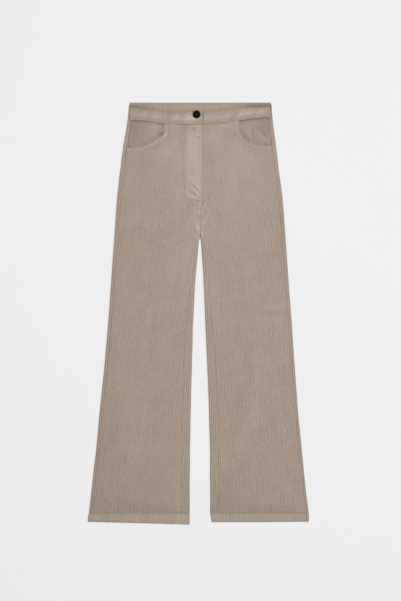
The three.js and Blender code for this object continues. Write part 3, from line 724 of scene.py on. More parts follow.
        # painted light on the puckers beside the front seam, and painted shade in the seam itself
        pucker_light = (0.25 + 0.4 * ripple(drop, 12, 5 + self.sign)) * SEAM_PUCKER(np.abs(across) - 5)
        dark = FRONT_SEAM_SHADE(across) * (1 - smooth(drop, 286, 318)) * (0.75 + 0.4 * ripple(drop, 9, 2))
        # painted shade towards the leg's rounded outer edge
        outer_edge_shade = EDGE_SHADE * np.exp(-np.abs(self.outer(drop) - x) / EDGE_REACH)
        pressed = INSEAM_STRIP(np.abs(x - self.inner(drop)) - 22) * smooth(drop, 800, 920)
        return below_fly * (pucker_light - dark) + pressed - outer_edge_shade * smooth(drop, 100, 180)


@dataclass(frozen=True)
class Fly:
    """The fly: the right front laps over the left, with a facing behind it down to the J stitch."""

    stitch_x: float = -41.0
    bottom: float = 251.0
    lap_end: float = 252.0
    underlap: float = -2.0
    facing: float = 0.9
    ramp: Place = (-30.0, -6.0)
    row_gap: float = 5.5
    lift_ends: Place = (257, 286)
    corner: float = 26.0
    top: float = 58.5
    shade: float = 0.42

    def mask(self, x: Array, drop: Array) -> Array:
        """Finds where the facing lies behind the front.

        Args:
            x, drop: The places.

        Returns:
            1 over the facing and 0 elsewhere.
        """
        beside = smooth(x, self.stitch_x - 1.5, self.stitch_x + 1.5)
        corner = np.maximum(self.stitch_x + self.corner - x, 0) / self.corner
        return beside * (1 - smooth(drop + 14 * corner**2, self.bottom - 3, self.bottom + 4))

    def tone(self, x: Array, drop: Array) -> Array:
        """Lightens the pile over the facing, with painted shadow next to the lap's edge.

        Args:
            x, drop: The places.

        Returns:
            The lightness at each place.
        """
        # held back by up to a fifth next to the lap's edge: painted shadow there
        across = smooth(x, self.stitch_x - 3, self.stitch_x + 3) * (1 - 0.2 * smooth(x, -8, 1))
        along = smooth(drop, 60, 88) * (1 - 0.35 * smooth(drop, 190, 222))
        return self.shade * across * along * self.mask(x, drop)

    def lap_lift(self, x: Array, drop: Array) -> Array:
        """How far the left front lifts the right one that lies on it."""
        return (CLOTH + GAP) * smooth(x, *self.ramp) * (1 - smooth(drop, *self.lift_ends))

    def stitch_paths(self) -> list[Array]:
        """Draws the rows of the J stitch, from the band down and round to the front seam.

        Returns:
            The points of each row.
        """
        paths = []
        for inset in (0.0, self.row_gap):
            x = self.stitch_x + inset
            low = self.bottom - inset
            turn = bent_line((x, low - self.corner), (x, low - 1), (-9.0, low), 12)
            paths.append(np.concatenate([[(x, self.top)], turn, [(4.0, low)]]))
        return paths


FLY = Fly()
MOUTH_ROWS = (2.2, 12.8)  # distances of the two rows of stitching from the pocket mouth
BAND_ROWS = (4.0, 9.0)  # and from the band's lower seam
INSIDE_ROW = 6.0  # drop of the row inside the back band
SCOOPS = {
    Side.RIGHT: dict(corner=93, corner_drop=80, side=187, side_drop=114.5, power=2.5),
    Side.LEFT: dict(corner=99, corner_drop=72, side=187, side_drop=110.5, power=3.4),
}
HEMS = {Side.RIGHT: (1077.2, 1070.6, 1), Side.LEFT: (1071.2, 1070.0, 4)}
HALVES = {side: Half(side, SCOOPS[side], HEMS[side]) for side in Side}


def anchor() -> Vector:
    """Finds the point of the row frame where x and drop are both 0, from the button.

    Returns:
        The point, on the floor.
    """
    low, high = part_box("waist_button")
    middle = (Vector(low) + Vector(high)) / 2
    return Vector((middle.x - BUTTON_PLACE[0] * MM, middle.y + BUTTON_PLACE[1] * MM, 0.0))


ORIGIN = anchor()


def to_frame(points: Array) -> Array:
    """Turns rows of x, drop and height in millimetres into points of the row frame."""
    return points * (MM, -MM, MM) + np.array(ORIGIN)


# Walls of cloth.


def row_plan(*spans: tuple[float, float, float]) -> Array:
    """Rows down a panel, with extra ones beside both of its ends.

    Args:
        spans: Stretches of the drop, each with its start, its end and the distance between its rows.

    Returns:
        For each row its drop, and how far it stays from the top edge and from the lower edge.
    """
    last = EDGE_ROWS[-1]
    drops = np.concatenate([np.arange(start, end, step) for start, end, step in spans])
    top = [(-np.inf, offset, 0) for offset in EDGE_ROWS]
    middle = [(drop, last, last) for drop in drops]
    low = [(np.inf, 0, offset) for offset in reversed(EDGE_ROWS)]
    return np.array(top + middle + low)


def drawn_in(x: Array) -> Array:
    """How far the waistband's seam is drawn in: all the way over the wearer's right pocket."""
    return 1 - SEAM_EASE * smooth(x, *SEAM_EASES)


def furrow(cords: Array) -> Array:
    """Depth of the furrows between the cords: 0 on top of a cord and 1 half a cord beside it."""
    return (0.5 - 0.5 * np.cos(2 * np.pi * cords)) ** 1.6


def rolled(
    u: Array, depth: Array, low: Pair, high: Pair
) -> tuple[Array, Array, Array, Array]:
    """Rolls a flat strip up and over at its two ends.

    Args:
        u: Places along the strip, which are x where it lies flat.
        depth: How far inside the face the wanted point lies.
        low: Where the flat part ends on the low side, and the radius of the roll there.
        high: The same on the high side.

    Returns:
        x and height of each point, and how far round the low and the high roll it lies, from 0 to 1.
    """
    x = np.clip(u, low[0], high[0])
    height = depth + 0.0
    overs = []
    for (end, radius), sign in ((low, -1), (high, 1)):
        past = np.maximum((u - end) * sign, 0)
        turn = np.clip(past / radius, 0, np.pi)
        x = x + sign * (np.sin(turn) * (radius - depth) - np.maximum(past - np.pi * radius, 0))
        height = height + (radius - depth) * (1 - np.cos(turn))
        overs.append(turn / np.pi)
    return x, height, overs[0], overs[1]


class Wall:
    """A piece of cloth as a closed wall: a face with cords, and a plain one under it.

    A place on the piece is how far across it lies and its drop. Its columns follow the cords, so those
    beyond a seam fall together on it and are welded.
    """

    name = "wall"
    rows: Array
    steps = STEPS_PER_CORD
    tucked = 0.45  # how far the pile is pressed round the hips
    tucked_ends = (150, 340)  # drops over which that ends

    def limits(self, drop: Array) -> Pair:
        """The lowest and the highest place across the piece."""
        raise NotImplementedError

    def edges(self, across: Array, drop: Array) -> Pair:
        """Drops of the top and the lower edge."""
        raise NotImplementedError

    def drift(self, drop: Array) -> Array:
        """How far the cords have moved sideways."""
        return np.zeros(np.shape(drop))

    def face(self, across: Array, drop: Array) -> Array:
        """Points of the face, as rows of x, drop and height."""
        raise NotImplementedError

    def lining(self, across: Array, drop: Array) -> Array:
        """Points of the other face of the wall."""
        raise NotImplementedError

    def shade(self, points: Array) -> Array:
        """Painted light and shade of the pile at each point."""
        return np.zeros(len(points))

    def pressed(self, points: Array) -> Array:
        """How far the pile is pressed over its furrows, from 0 to 1: more round the hips than on the legs."""
        return self.tucked * (1 - smooth(points[:, 1], *self.tucked_ends))

    def place(self, line: Array, row: Array) -> Pair:
        """Finds where the grid's points lie.

        Args:
            line: The number of the cord on which each point lies.
            row: The number of its row.

        Returns:
            How far across each point lies, and its drop.
        """
        wanted, after, before = self.rows[row].T
        drop = np.clip(wanted, 0, LENGTH)
        for _ in range(PLACING_PASSES):
            low, high = self.limits(drop)
            across = onto(line * PITCH + self.drift(drop), low, high)
            top, bottom = self.edges(across, drop)
            drop = onto(wanted, top + after, bottom - before)
        return across, drop

    def spread(self) -> Place:
        """Finds how far the cords reach.

        Returns:
            The lowest and the highest place of a cord on the piece.
        """
        drops = np.linspace(0, LENGTH, 60)
        low, high = np.subtract(self.limits(drops), self.drift(drops))
        return float(low.min()), float(high.max())

    def lines(self) -> Array:
        """Numbers the columns.

        Returns:
            The number of each, counted in cords.
        """
        low, high = self.spread()
        first, last = math.floor(low / PITCH), math.ceil(high / PITCH)
        return np.arange(first * self.steps, last * self.steps + 1) / self.steps

    def build(self) -> Piece:
        """Makes the wall.

        Returns:
            The object, with the attributes that its finish reads.
        """
        lines = self.lines()
        columns, rows = len(lines), len(self.rows)
        bm = bmesh.new()
        bmesh.ops.create_grid(bm, x_segments=columns - 1, y_segments=rows - 1, size=0.5)
        grid = np.array([vert.co[:2] for vert in bm.verts]) + 0.5
        column = np.rint(grid[:, 0] * (columns - 1)).astype(int)
        row = np.rint(grid[:, 1] * (rows - 1)).astype(int)
        places = np.stack(self.place(lines[column], row), 1)
        kept = [bm.verts.layers.float.new(name) for name in ("across", "drop")]
        for vert, place, point in zip(bm.verts, places, to_frame(self.face(*places.T))):
            vert.co = point
            vert[kept[0]], vert[kept[1]] = place
        bmesh.ops.remove_doubles(bm, verts=bm.verts, dist=WELD * MM)
        bmesh.ops.dissolve_degenerate(bm, dist=WELD * MM, edges=bm.edges)
        stray = [vert for vert in bm.verts if not vert.link_faces]
        bmesh.ops.delete(bm, geom=stray, context="VERTS")
        made = bmesh.ops.extrude_face_region(bm, geom=bm.faces[:], use_keep_orig=True)
        under = [item for item in made["geom"] if isinstance(item, bmesh.types.BMVert)]
        places = np.array([(vert[kept[0]], vert[kept[1]]) for vert in under])
        for vert, point in zip(under, to_frame(self.lining(*places.T))):
            vert.co = point
        bmesh.ops.recalc_face_normals(bm, faces=bm.faces)
        if bm.calc_volume(signed=True) < 0:
            bmesh.ops.reverse_faces(bm, faces=bm.faces)
        return self._finish(bm)

    def _finish(self, bm: BMesh) -> Piece:
        """Turns the bmesh into an object and writes the attributes of its finish.

        Args:
            bm: The wall, which carries where each vertex lies on the cloth.

        Returns:
            The object.
        """
        piece = new_object(self.name, bm)
        mesh = piece.data
        count = len(mesh.vertices)
        across, drop, flat = np.zeros(count), np.zeros(count), np.zeros(count * 3)
        mesh.attributes["across"].data.foreach_get("value", across)
        mesh.attributes["drop"].data.foreach_get("value", drop)
        mesh.vertices.foreach_get("co", flat)
        points = (flat.reshape(-1, 3) - np.array(ORIGIN)) / (MM, -MM, MM)
        values = dict(
            cord=(across - self.drift(drop)) / PITCH,
            run=points[:, 1],
            shade=self.shade(points),
            pressed=self.pressed(points),
        )
        for name in ("across", "drop"):
            mesh.attributes.remove(mesh.attributes[name])
        for name, value in values.items():
            made = mesh.attributes.new(name, "FLOAT", "POINT")
            made.data.foreach_set("value", value.astype(np.float32))
        return piece

    def cut_size(self) -> tuple[tuple[float, float], float]:
        """The size that the piece is cut to.

        Returns:
            Its width and length in metres, and its flat area in square metres.
        """
        drops = np.linspace(0, LENGTH, CUT_ROWS)
        low, high = self.limits(drops)
        middle = (low + high) / 2
        top, bottom = self.edges(middle, drops)
        inside = (drops >= top) & (drops <= bottom)
        width, length = (high - low)[inside], np.ptp(drops[inside])
        area = width.mean() * length
        return (float(width.max()) * MM, float(length) * MM), float(area) * MM**2


def new_object(name: str, bm: BMesh) -> Piece:
    """Makes a smooth object of a bmesh, and frees the bmesh.

    Args:
        name: The name of the piece.
        bm: Its mesh.

    Returns:
        The object, in the scene.
    """
    mesh = bpy.data.meshes.new(name)
    bm.to_mesh(mesh)
    bm.free()
    mesh.shade_smooth()
    piece = bpy.data.objects.new(name, mesh)
    bpy.context.scene.collection.objects.link(piece)
    return piece


def ride(piece: Piece, slot: str, *nodes: str) -> Piece:
    """Fixes a piece to the garment's body.

    Args:
        piece: The piece.
        slot: The slot of its finish. It is not used.
        nodes: The nodes that it stands for.

    Returns:
        The piece.
    """
    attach(piece, "root")
    if nodes:
        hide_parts(*nodes)
    return piece


class HalfWall(Wall):
    """A piece of cloth of one half of the trousers."""

    kind = "wall"

    def __init__(self, half: Half) -> None:
        """Makes the piece of one half."""
        self.half = half
        self.name = f"{self.kind}_{half.side.label}_corduroy"

    def in_order(self, outer: Array, inner: Array) -> Pair:
        """Its outer and inner end in the order of x."""
        return (outer, inner) if self.half.side is Side.RIGHT else (inner, outer)

    def drift(self, drop: Array) -> Array:
        """Sideways drift of the cords down the leg."""
        return self.half.drift(drop)


class FrontPanel(HalfWall):
    """A front panel, from the waistband and the pocket mouth to the hem."""

    kind = "front_panel"

    rows = row_plan(
        (46, 60, 3.2), (60, 140, 1.6), (140, 196, 4.0), (196, 262, 2.1), (262, 290, 4.0), (290, 515, 8.5),
        (515, 560, 3.0), (560, 1020, 8.5), (1020, 1040, 4.0), (1040, 1054, 1.2), (1054, 1076, 4.0),
    )
    mouth_round = 1.7
    band_round = 0.6
    hem_round = 1.45

    def limits(self, drop: Array) -> Pair:
        """From the side seam to the middle."""
        half = self.half
        return self.in_order(half.outer_seam(drop) - half.sign * SEAM_GAP / 2, half.centre_edge(drop))

    def edges(self, across: Array, drop: Array) -> Pair:
        """Band seam or pocket mouth, and hem."""
        return self.half.front_top(across), self.half.hem(across)

    def cloth(self, x: Array, drop: Array) -> Array:
        """Thickness of the wall: more at the fly's facing and at the hem."""
        fly = FLY.facing * FLY.mask(x, drop) if self.half.side is Side.RIGHT else 0
        return mix(CLOTH + fly, HEM_CLOTH, smooth(drop, *HEM_STEP))

    def face(self, across: Array, drop: Array) -> Array:
        """Lays the cords, rounded off along every edge.

        Args:
            across, drop: The places.

        Returns:
            The points of the face.
        """
        half = self.half
        low, high = self.limits(drop)
        beside = rounding(np.minimum(across - low, high - across), SEAM_ROUND)
        mouth = rounding(nearest(half.mouth, across, drop)[0], self.mouth_round)
        band = rounding(drop - half.front_top(across), self.band_round) * drawn_in(across)
        hem = rounding(half.hem(across) - drop, self.hem_round)
        cords = (across - half.drift(drop)) / PITCH
        sunk = CORD_HEIGHT * furrow(cords) + np.maximum.reduce((beside, mouth, band, hem))
        sunk = np.minimum(sunk, self.cloth(across, drop) - LEAST_CLOTH)
        return spots(across, drop, half.panel_top(across, drop) - sunk)

    def lining(self, across: Array, drop: Array) -> Array:
        """The plain inside."""
        return spots(across, drop, self.half.panel_top(across, drop) - self.cloth(across, drop))

    def shade(self, points: Array) -> Array:
        """Painted light and shade of the pile."""
        return self.half.shade(points[:, 0], points[:, 1])


class BackPanel(HalfWall):
    """A back panel: flat on the floor, and rolled at both edges of the leg on to the front.

    Across it counts outwards from the middle of the garment, along the cloth.
    """

    kind = "back_panel"
    rows = row_plan((36, 290, 7.0), (290, 1020, 9.0), (1020, 1040, 4.0), (1040, 1054, 1.2), (1054, 1076, 4.0))
    turn_length = 7.0  # of the leg below the crotch, in which its inner edge rolls up

    def _flat(self, drop: Array) -> tuple[Pair, Pair, Array]:
        """Finds the flat part.

        Args:
            drop: The rows' drop.

        Returns:
            Its inner end and the radius there, its outer end and radius, and how far its inner edge has
            rolled up.
        """
        half = self.half
        radius = half.edge_height(drop) / 2
        rolled_in = smooth(drop, CROTCH, CROTCH + self.turn_length)
        inner = mix(GAP / 2, half.sign * half.inner(drop) + radius, rolled_in)
        return (inner, radius), (np.abs(half.outer(drop)) - radius, radius), rolled_in

    def limits(self, drop: Array) -> Pair:
        """Measures from the inseam to the side seam, along the cloth.

        Args:
            drop: The rows' drop.

        Returns:
            The lowest and the highest place across.
        """
        half = self.half
        (inner, radius), (outer, _), rolled_in = self._flat(drop)
        inner_wrap = np.abs(half.inner_seam(drop) - half.inner(drop)) - SEAM_GAP / 2 - radius
        outer_wrap = np.abs(half.outer_seam(drop) - half.outer(drop)) - SEAM_GAP / 2 - radius
        low = inner - (np.pi * radius + inner_wrap) * rolled_in
        return low, outer + np.pi * radius + outer_wrap

    def edges(self, across: Array, drop: Array) -> Pair:
        """Finds the back band's seam, which climbs to the front's at the side, and the hem.

        Args:
            across, drop: The places.

        Returns:
            The drops of both edges.
        """
        low, high, _ = self._flat(drop)
        x, _, _, over = rolled(across, 0 * across, low, high)
        x = self.half.sign * x
        return mix(BACK_BAND_DEPTH, self.half.band_seam(x), over) + GAP, self.half.hem(x)

    def drift(self, drop: Array) -> Array:
        """Sideways drift of the cords down the leg."""
        return self.half.sign * self.half.drift(drop)

    def _points(self, across: Array, drop: Array, depth: Array) -> Array:
        """Rolls points up from the floor.

        Args:
            across, drop: The places.
            depth: How far inside the face each point lies.

        Returns:
            The points.
        """
        half = self.half
        low, high, _ = self._flat(drop)
        x, height, over_in, over_out = rolled(across, depth, low, high)
        x = half.sign * x
        over = np.maximum(over_in, over_out)
        dip = SEAM_DIP(half.seam_distance(x, drop)) + BACK_HEM_GROOVE(drop - HEM_LINE)
        crown = half.body_height(x, drop) + half.puckers(x, drop) - dip - 2 * low[1]
        return spots(x, drop, height + crown * over**2)

    def face(self, across: Array, drop: Array) -> Array:
        """Lays the cords, pressed flatter where they lie on the floor.

        Args:
            across, drop: The places.

        Returns:
            The points of the face.
        """
        low, high = self.limits(drop)
        flat_low, flat_high, _ = self._flat(drop)
        _, _, over_in, over_out = rolled(across, 0 * across, flat_low, flat_high)
        top, bottom = self.edges(across, drop)
        edge = np.minimum(np.minimum(across - low, high - across), np.minimum(drop - top, bottom - drop))
        relief = mix(PRESSED_CORD, CORD_HEIGHT, np.maximum(over_in, over_out))
        depth = relief * furrow((across - self.drift(drop)) / PITCH) + rounding(edge, SEAM_ROUND)
        depth = depth + FLOOR_HEM_GROOVE(drop - HEM_LINE)
        return self._points(across, drop, np.minimum(depth, self.cloth(drop) - 0.3))

    def cloth(self, drop: Array) -> Array:
        """Thickness of the wall, which the turned-up hem doubles."""
        return mix(BACK_CLOTH, HEM_CLOTH, smooth(drop, *HEM_STEP))

    def lining(self, across: Array, drop: Array) -> Array:
        """The plain inside."""
        return self._points(across, drop, self.cloth(drop))

    def shade(self, points: Array) -> Array:
        """Painted light and shade of the pile, which the underside doesn't have."""
        upper = smooth(points[:, 2], 1.5, 4)
        return upper * self.half.shade(points[:, 0], points[:, 1])


class HipFacing(HalfWall):
    """The cloth that shows in a pocket mouth and runs on under the front panel."""

    kind = "pocket_facing"
    below_mouth = 20.0
    narrowed = 6.0  # its side steps in below the pocket mouth
    side_round = 1.1

    def __init__(self, half: Half) -> None:
        """Makes the facing of one half.

        Args:
            half: The half.
        """
        super().__init__(half)
        self.bottom = half.scoop["side_drop"] + self.below_mouth
        self.rows = row_plan((36, self.bottom, 3.4))

    def limits(self, drop: Array) -> Pair:
        """Measures from the side seam to its end under the front panel.

        Args:
            drop: The rows' drop.

        Returns:
            The lowest and the highest x.
        """
        half = self.half
        step = self.narrowed * smooth(drop, half.scoop["side_drop"] - 6, half.scoop["side_drop"])
        seam = half.outer_seam(drop) - half.sign * (SEAM_GAP / 2 + step)
        return self.in_order(seam, half.sign * (half.scoop["corner"] - FACING_UNDERLAP) + 0 * seam)

    def edges(self, across: Array, drop: Array) -> Pair:
        """Band seam, and its lower edge."""
        return self.half.band_seam(across) + GAP, self.bottom + 0 * across

    def _top(self, x: Array, drop: Array) -> Array:
        """Height of the tops of the cords, which sinks towards the band and the seam."""
        below_band = FACING_SINKS(drop - self.half.band_seam(x))
        return self.half.body_height(x, drop) - below_band - FACING_DIP(self.half.seam_distance(x, drop))

    def face(self, across: Array, drop: Array) -> Array:
        """Lays the cords, rounded off at the sides.

        Args:
            across, drop: The places.

        Returns:
            The points of the face.
        """
        low, high = self.limits(drop)
        sunk = CORD_HEIGHT * furrow((across - self.drift(drop)) / PITCH)
        sunk = sunk + rounding(np.minimum(across - low, high - across), self.side_round)
        return spots(across, drop, self._top(across, drop) - np.minimum(sunk, CLOTH - LEAST_CLOTH))

    def lining(self, across: Array, drop: Array) -> Array:
        """The plain inside."""
        return spots(across, drop, self._top(across, drop) - CLOTH)

    def shade(self, points: Array) -> Array:
        """Paints shade on the facing, which lies deeper than the front, most of all under the band, beside
        the mouth and towards the side seam.

        Args:
            points: Rows of x, drop and height.

        Returns:
            The lightness at each point.
        """
        x, drop = points[:, 0], points[:, 1]
        half = self.half
        below_band = bell(drop - half.band_seam(x), 5)
        outwards = smooth(np.abs(x), 112, 178)
        corner = outwards * (1 - smooth(drop, 62, 96))
        mouth = bell(nearest(half.mouth, x, drop)[0], 9)
        # painted shade: over the whole facing, more towards the side and in its top corner, a shadow under
        # the band, and beside the mouth
        dark = 0.3 + 0.2 * outwards + 0.35 * corner + 1.3 * below_band + 2.2 * MOUTH_SHADE * mouth
        return half.wear(x, drop) + half.patched(x, drop) - dark


class Band(Wall):
    """A part of the waistband. Its rows are shares of its depth, from the top edge to the seam."""

    steps = 6
    rows = np.array((0, 0.02, 0.055, *np.linspace(0.1, 0.9, 21), 0.945, 0.98, 1))
    edge_round = 1.3
    seam_round = 0.7
    flattened = 0.65  # how far its pile is pressed

    def ends(self, depth: Array) -> Pair:
        """The lowest and the highest place across, at a share of the depth."""
        raise NotImplementedError

    def drops(self, across: Array, depth: Array) -> Pair:
        """Drops of the top edge and of the lower seam at a place."""
        raise NotImplementedError

    def place(self, line: Array, row: Array) -> Pair:
        """Finds where the grid's points lie. The second number is the share of the depth."""
        depth = self.rows[row]
        return onto(line * PITCH, *self.ends(depth)), depth

    def drop_at(self, across: Array, depth: Array) -> Array:
        """The drop of places, from their shares of the depth."""
        return mix(*self.drops(across, depth), depth)

    def spread(self) -> Place:
        """The lowest and the highest place along the band."""
        low, high = self.ends(self.rows)
        return float(low.min()), float(high.max())

    def rim(self, across: Array, depth: Array) -> Array:
        """Rounds the wall off at its edges.

        Args:
            across, depth: The places.

        Returns:
            How far the wall is cut down there.
        """
        top, low = self.drops(across, depth)
        start, end = self.ends(depth)
        ends = rounding(np.minimum(across - start, end - across), self.edge_round)
        folded = rounding(depth * (low - top), self.edge_round)
        seam = rounding((1 - depth) * (low - top), self.seam_round) * drawn_in(across)
        return np.maximum.reduce((ends, folded, seam))

    def pressed(self, points: Array) -> Array:
        """The band is pressed all along."""
        return np.full(len(points), self.flattened)

    def cut_size(self) -> tuple[tuple[float, float], float]:
        """Measures one layer of the finished band.

        Returns:
            Its length and mean depth in metres, and its flat area in square metres.
        """
        low, high = self.ends(np.array((0.5,)))
        across = np.linspace(low[0], high[0], 200)
        top, bottom = self.drops(across, np.full(200, 0.5))
        length, depth = float(high[0] - low[0]) * MM, float((bottom - top).mean()) * MM
        return (length, depth), length * depth


class FrontBand(Band):
    """Half of the waistband's front. The right one climbs over the left one's end."""

    climb_ramp = (-52.0, -34.0)
    flatter = 0.75  # its cords than the panels'
    least = 0.6  # of its cloth under a furrow
    turned_in = 0.4  # how far the rounding shows inside

    def __init__(self, half: Half) -> None:
        """Makes the band of one half."""
        self.half = half
        self.name = f"waistband_front_{half.side.label}_corduroy"

    def ends(self, depth: Array) -> Pair:
        """Measures from the rolled back band to the fly.

        Args:
            depth: The share of the depth.

        Returns:
            The lowest and the highest x.
        """
        half = self.half
        side = half.band_edge(depth) - half.sign * (BAND_RADIUS + GAP)
        if half.side is Side.RIGHT:
            return side, 0 * side + FRONT_SEAM["x"][0]
        return 0 * side + BAND_UNDERLAP, side

    def drops(self, across: Array, depth: Array) -> Pair:
        """The dipping top edge and seam."""
        return self.half.band_top(across), self.half.band_seam(across)

    def top(self, x: Array, depth: Array) -> Array:
        """Lays a low crown, with the rows of stitching drawn in.

        Args:
            x: The places across.
            depth: Their shares of the depth.

        Returns:
            The height of the tops of the cords.
        """
        top, low = self.drops(x, depth)
        climb = (BAND_CLOTH + GAP) * smooth(x, *self.climb_ramp) if self.half.side is Side.RIGHT else 0
        from_side = smooth(np.abs(self.half.band_edge(depth)) - np.abs(x), 4, 60)
        wave = from_side * np.sin(np.pi * depth) * (0.35 + 0.45 * ripple(x + 16 * depth, 43, 1))
        grooves = sum(BAND_GROOVE((1 - depth) * (low - top) - row) for row in BAND_ROWS)
        return BAND_TOP + climb + wave - grooves

    def face(self, across: Array, drop: Array) -> Array:
        """Lays the cords, rounded off at the folded top edge, the seam and the ends.

        Args:
            across, drop: The places, and their shares of the depth.

        Returns:
            The points of the face.
        """
        cords = self.flatter * CORD_HEIGHT * furrow(across / PITCH)
        sunk = np.minimum(cords + self.rim(across, drop), BAND_CLOTH - self.least)
        return spots(across, self.drop_at(across, drop), self.top(across, drop) - sunk)

    def lining(self, across: Array, drop: Array) -> Array:
        """The plain inside."""
        height = self.top(across, drop) - BAND_CLOTH + self.turned_in * self.rim(across, drop)
        return spots(across, self.drop_at(across, drop), height)

    def shade(self, points: Array) -> Array:
        """Paints light along the lower part of the band, with shade near its top edge, in its stitched rows
        and on its waves.

        Args:
            points: Rows of x, drop and height.

        Returns:
            The lightness at each point.
        """
        x, drop = points[:, 0], points[:, 1]
        seam = self.half.band_seam(x)
        # painted light on the lower part of the band, and painted shade in its rows and near its top edge at
        # the sides
        crest = bell(seam - drop - 15, 11)
        band_edge_shade = bell(drop - self.half.band_top(x), 5) * smooth(np.abs(x), 90, 170)
        rows = sum(bell(seam - drop - row, 1.3) for row in BAND_ROWS)
        # painted light and shade that follows the band's waves, with painted light near the middle and
        # towards the wearer's left
        brushed = 0.25 * ripple(x + 16 * drop / 30, 43, 1)
        brushed = brushed + 0.35 * bell(x + 24, 34) + 0.12 * bell(x - 110, 56)
        tone = -0.28 + 0.55 * crest + brushed - 0.4 * band_edge_shade - 0.3 * rows
        if self.half.side is Side.LEFT:
            # painted shadow under the end of the right band, which lies over this one
            tone = tone - 0.9 * bell(x - FRONT_SEAM["x"][0] - 2, 2.4)
        return tone


class BackBand(Band):
    """The waistband's back: flat on the floor, with ends that roll up to the front bands."""

    name = "waistband_back_corduroy"
    deepest = 1.4  # cut into its outside, and then into its inside
    deepest_inside = 1.5

    def ends(self, depth: Array) -> Pair:
        """Along the cloth, from one rolled end to the other."""
        low, high = self._flat(depth)
        return low[0] - np.pi * low[1], high[0] + np.pi * high[1]

    def _flat(self, depth: Array) -> tuple[Pair, Pair]:
        """Finds the flat part.

        Args:
            depth: The share of the depth.

        Returns:
            Its low end and the radius of the roll there, and its high end and radius.
        """
        radius = BAND_RADIUS + 0 * depth
        right, left = HALVES[Side.RIGHT], HALVES[Side.LEFT]
        return (right.band_edge(depth) + BAND_RADIUS, radius), (left.band_edge(depth) - BAND_RADIUS, radius)

    def drops(self, across: Array, depth: Array) -> Pair:
        """Keeps its edges level where it lies flat, and dips to the front's round the rolls.

        Args:
            across: The places along the cloth.
            depth: Their shares of the depth.

        Returns:
            The drops of the top edge and of the seam.
        """
        half = HALVES[Side.RIGHT]
        x, _, over_low, over_high = rolled(across, 0 * across, *self._flat(depth))
        over = np.maximum(over_low, over_high)
        return mix(0, half.band_top(x), over), mix(BACK_BAND_DEPTH, half.band_seam(x), over)

    def _points(self, across: Array, share: Array, depth: Array) -> Array:
        """Rolls points up from the floor, at a depth inside the face."""
        x, height, _, _ = rolled(across, depth, *self._flat(share))
        return spots(x, self.drop_at(across, share), height)

    def face(self, across: Array, drop: Array) -> Array:
        """The outside, with its cords pressed on the floor."""
        depth = PRESSED_CORD * furrow(across / PITCH) + self.rim(across, drop)
        return self._points(across, drop, np.minimum(depth, self.deepest))

    def lining(self, across: Array, drop: Array) -> Array:
        """Lays the inside, which shows above the front bands, so it has cords and stitching too.

        Args:
            across, drop: The places, and their shares of the depth.

        Returns:
            The points of the inside.
        """
        stitched = BAND_GROOVE(self.drop_at(across, drop) - INSIDE_ROW)
        raised = CORD_HEIGHT * furrow(across / PITCH) + self.rim(across, drop) + stitched
        return self._points(across, drop, BAND_CLOTH - np.minimum(raised, self.deepest_inside))

    def shade(self, points: Array) -> Array:
        """Paints shadow on the inside of the back band under the front bands' edges, most of all at the
        sides, with painted light in the open middle and painted shade at the wearer's left end.

        Args:
            points: Rows of x, drop and height.

        Returns:
            The lightness at each point.
        """
        x, drop, height = points.T
        # painted shadow under the front bands' top edges
        edge_shadow = bell(drop - HALVES[Side.RIGHT].band_top(x) + 3, 5.5)
        edge_shadow = edge_shadow * (0.5 + 0.8 * smooth(np.abs(x), 84, 160))
        # painted light in the open middle, painted shade towards the wearer's left end
        middle_light_end_shade = 0.2 * (1 - smooth(np.abs(x), 70, 130)) - 0.5 * smooth(x, 84, 124)
        return smooth(height, 1, 2) * (middle_light_end_shade - edge_shadow)


class Strip(Wall):
    """A plain strip under the lap of the fly."""

    corner = 4.0
    rows = row_plan((58, 256, 6.0))
    steps = 2

    def __init__(self, name: str, sides: Place, ends: Place, base: float, thickness: float) -> None:
        """Sets the strip's size.

        Args:
            name: The name of the piece.
            sides: Its lowest and highest x.
            ends: Its lowest and highest drop.
            base: Height of its underside.
            thickness: Its thickness.
        """
        self.name = name
        self.sides, self.ends, self.base, self.thickness = sides, ends, base, thickness

    def limits(self, drop: Array) -> Pair:
        """Draws its sides in round the lower corners.

        Args:
            drop: The rows' drop.

        Returns:
            The lowest and the highest x.
        """
        down = np.clip(drop - self.ends[1] + self.corner, 0, self.corner)
        inward = self.corner - np.sqrt(self.corner**2 - down**2)
        return self.sides[0] + inward, self.sides[1] - inward

    def edges(self, across: Array, drop: Array) -> Pair:
        """Its ends."""
        return self.ends[0] + 0 * across, self.ends[1] + 0 * across

    def face(self, across: Array, drop: Array) -> Array:
        """The upper face."""
        return spots(across, drop, self.base + self.thickness)

    def lining(self, across: Array, drop: Array) -> Array:
        """The underside."""
        return spots(across, drop, self.base)


# Stitching, zip and button.


def level(height: float) -> Surface:
    """A surface that lies level at that height."""
    return lambda x, drop: height + 0 * x


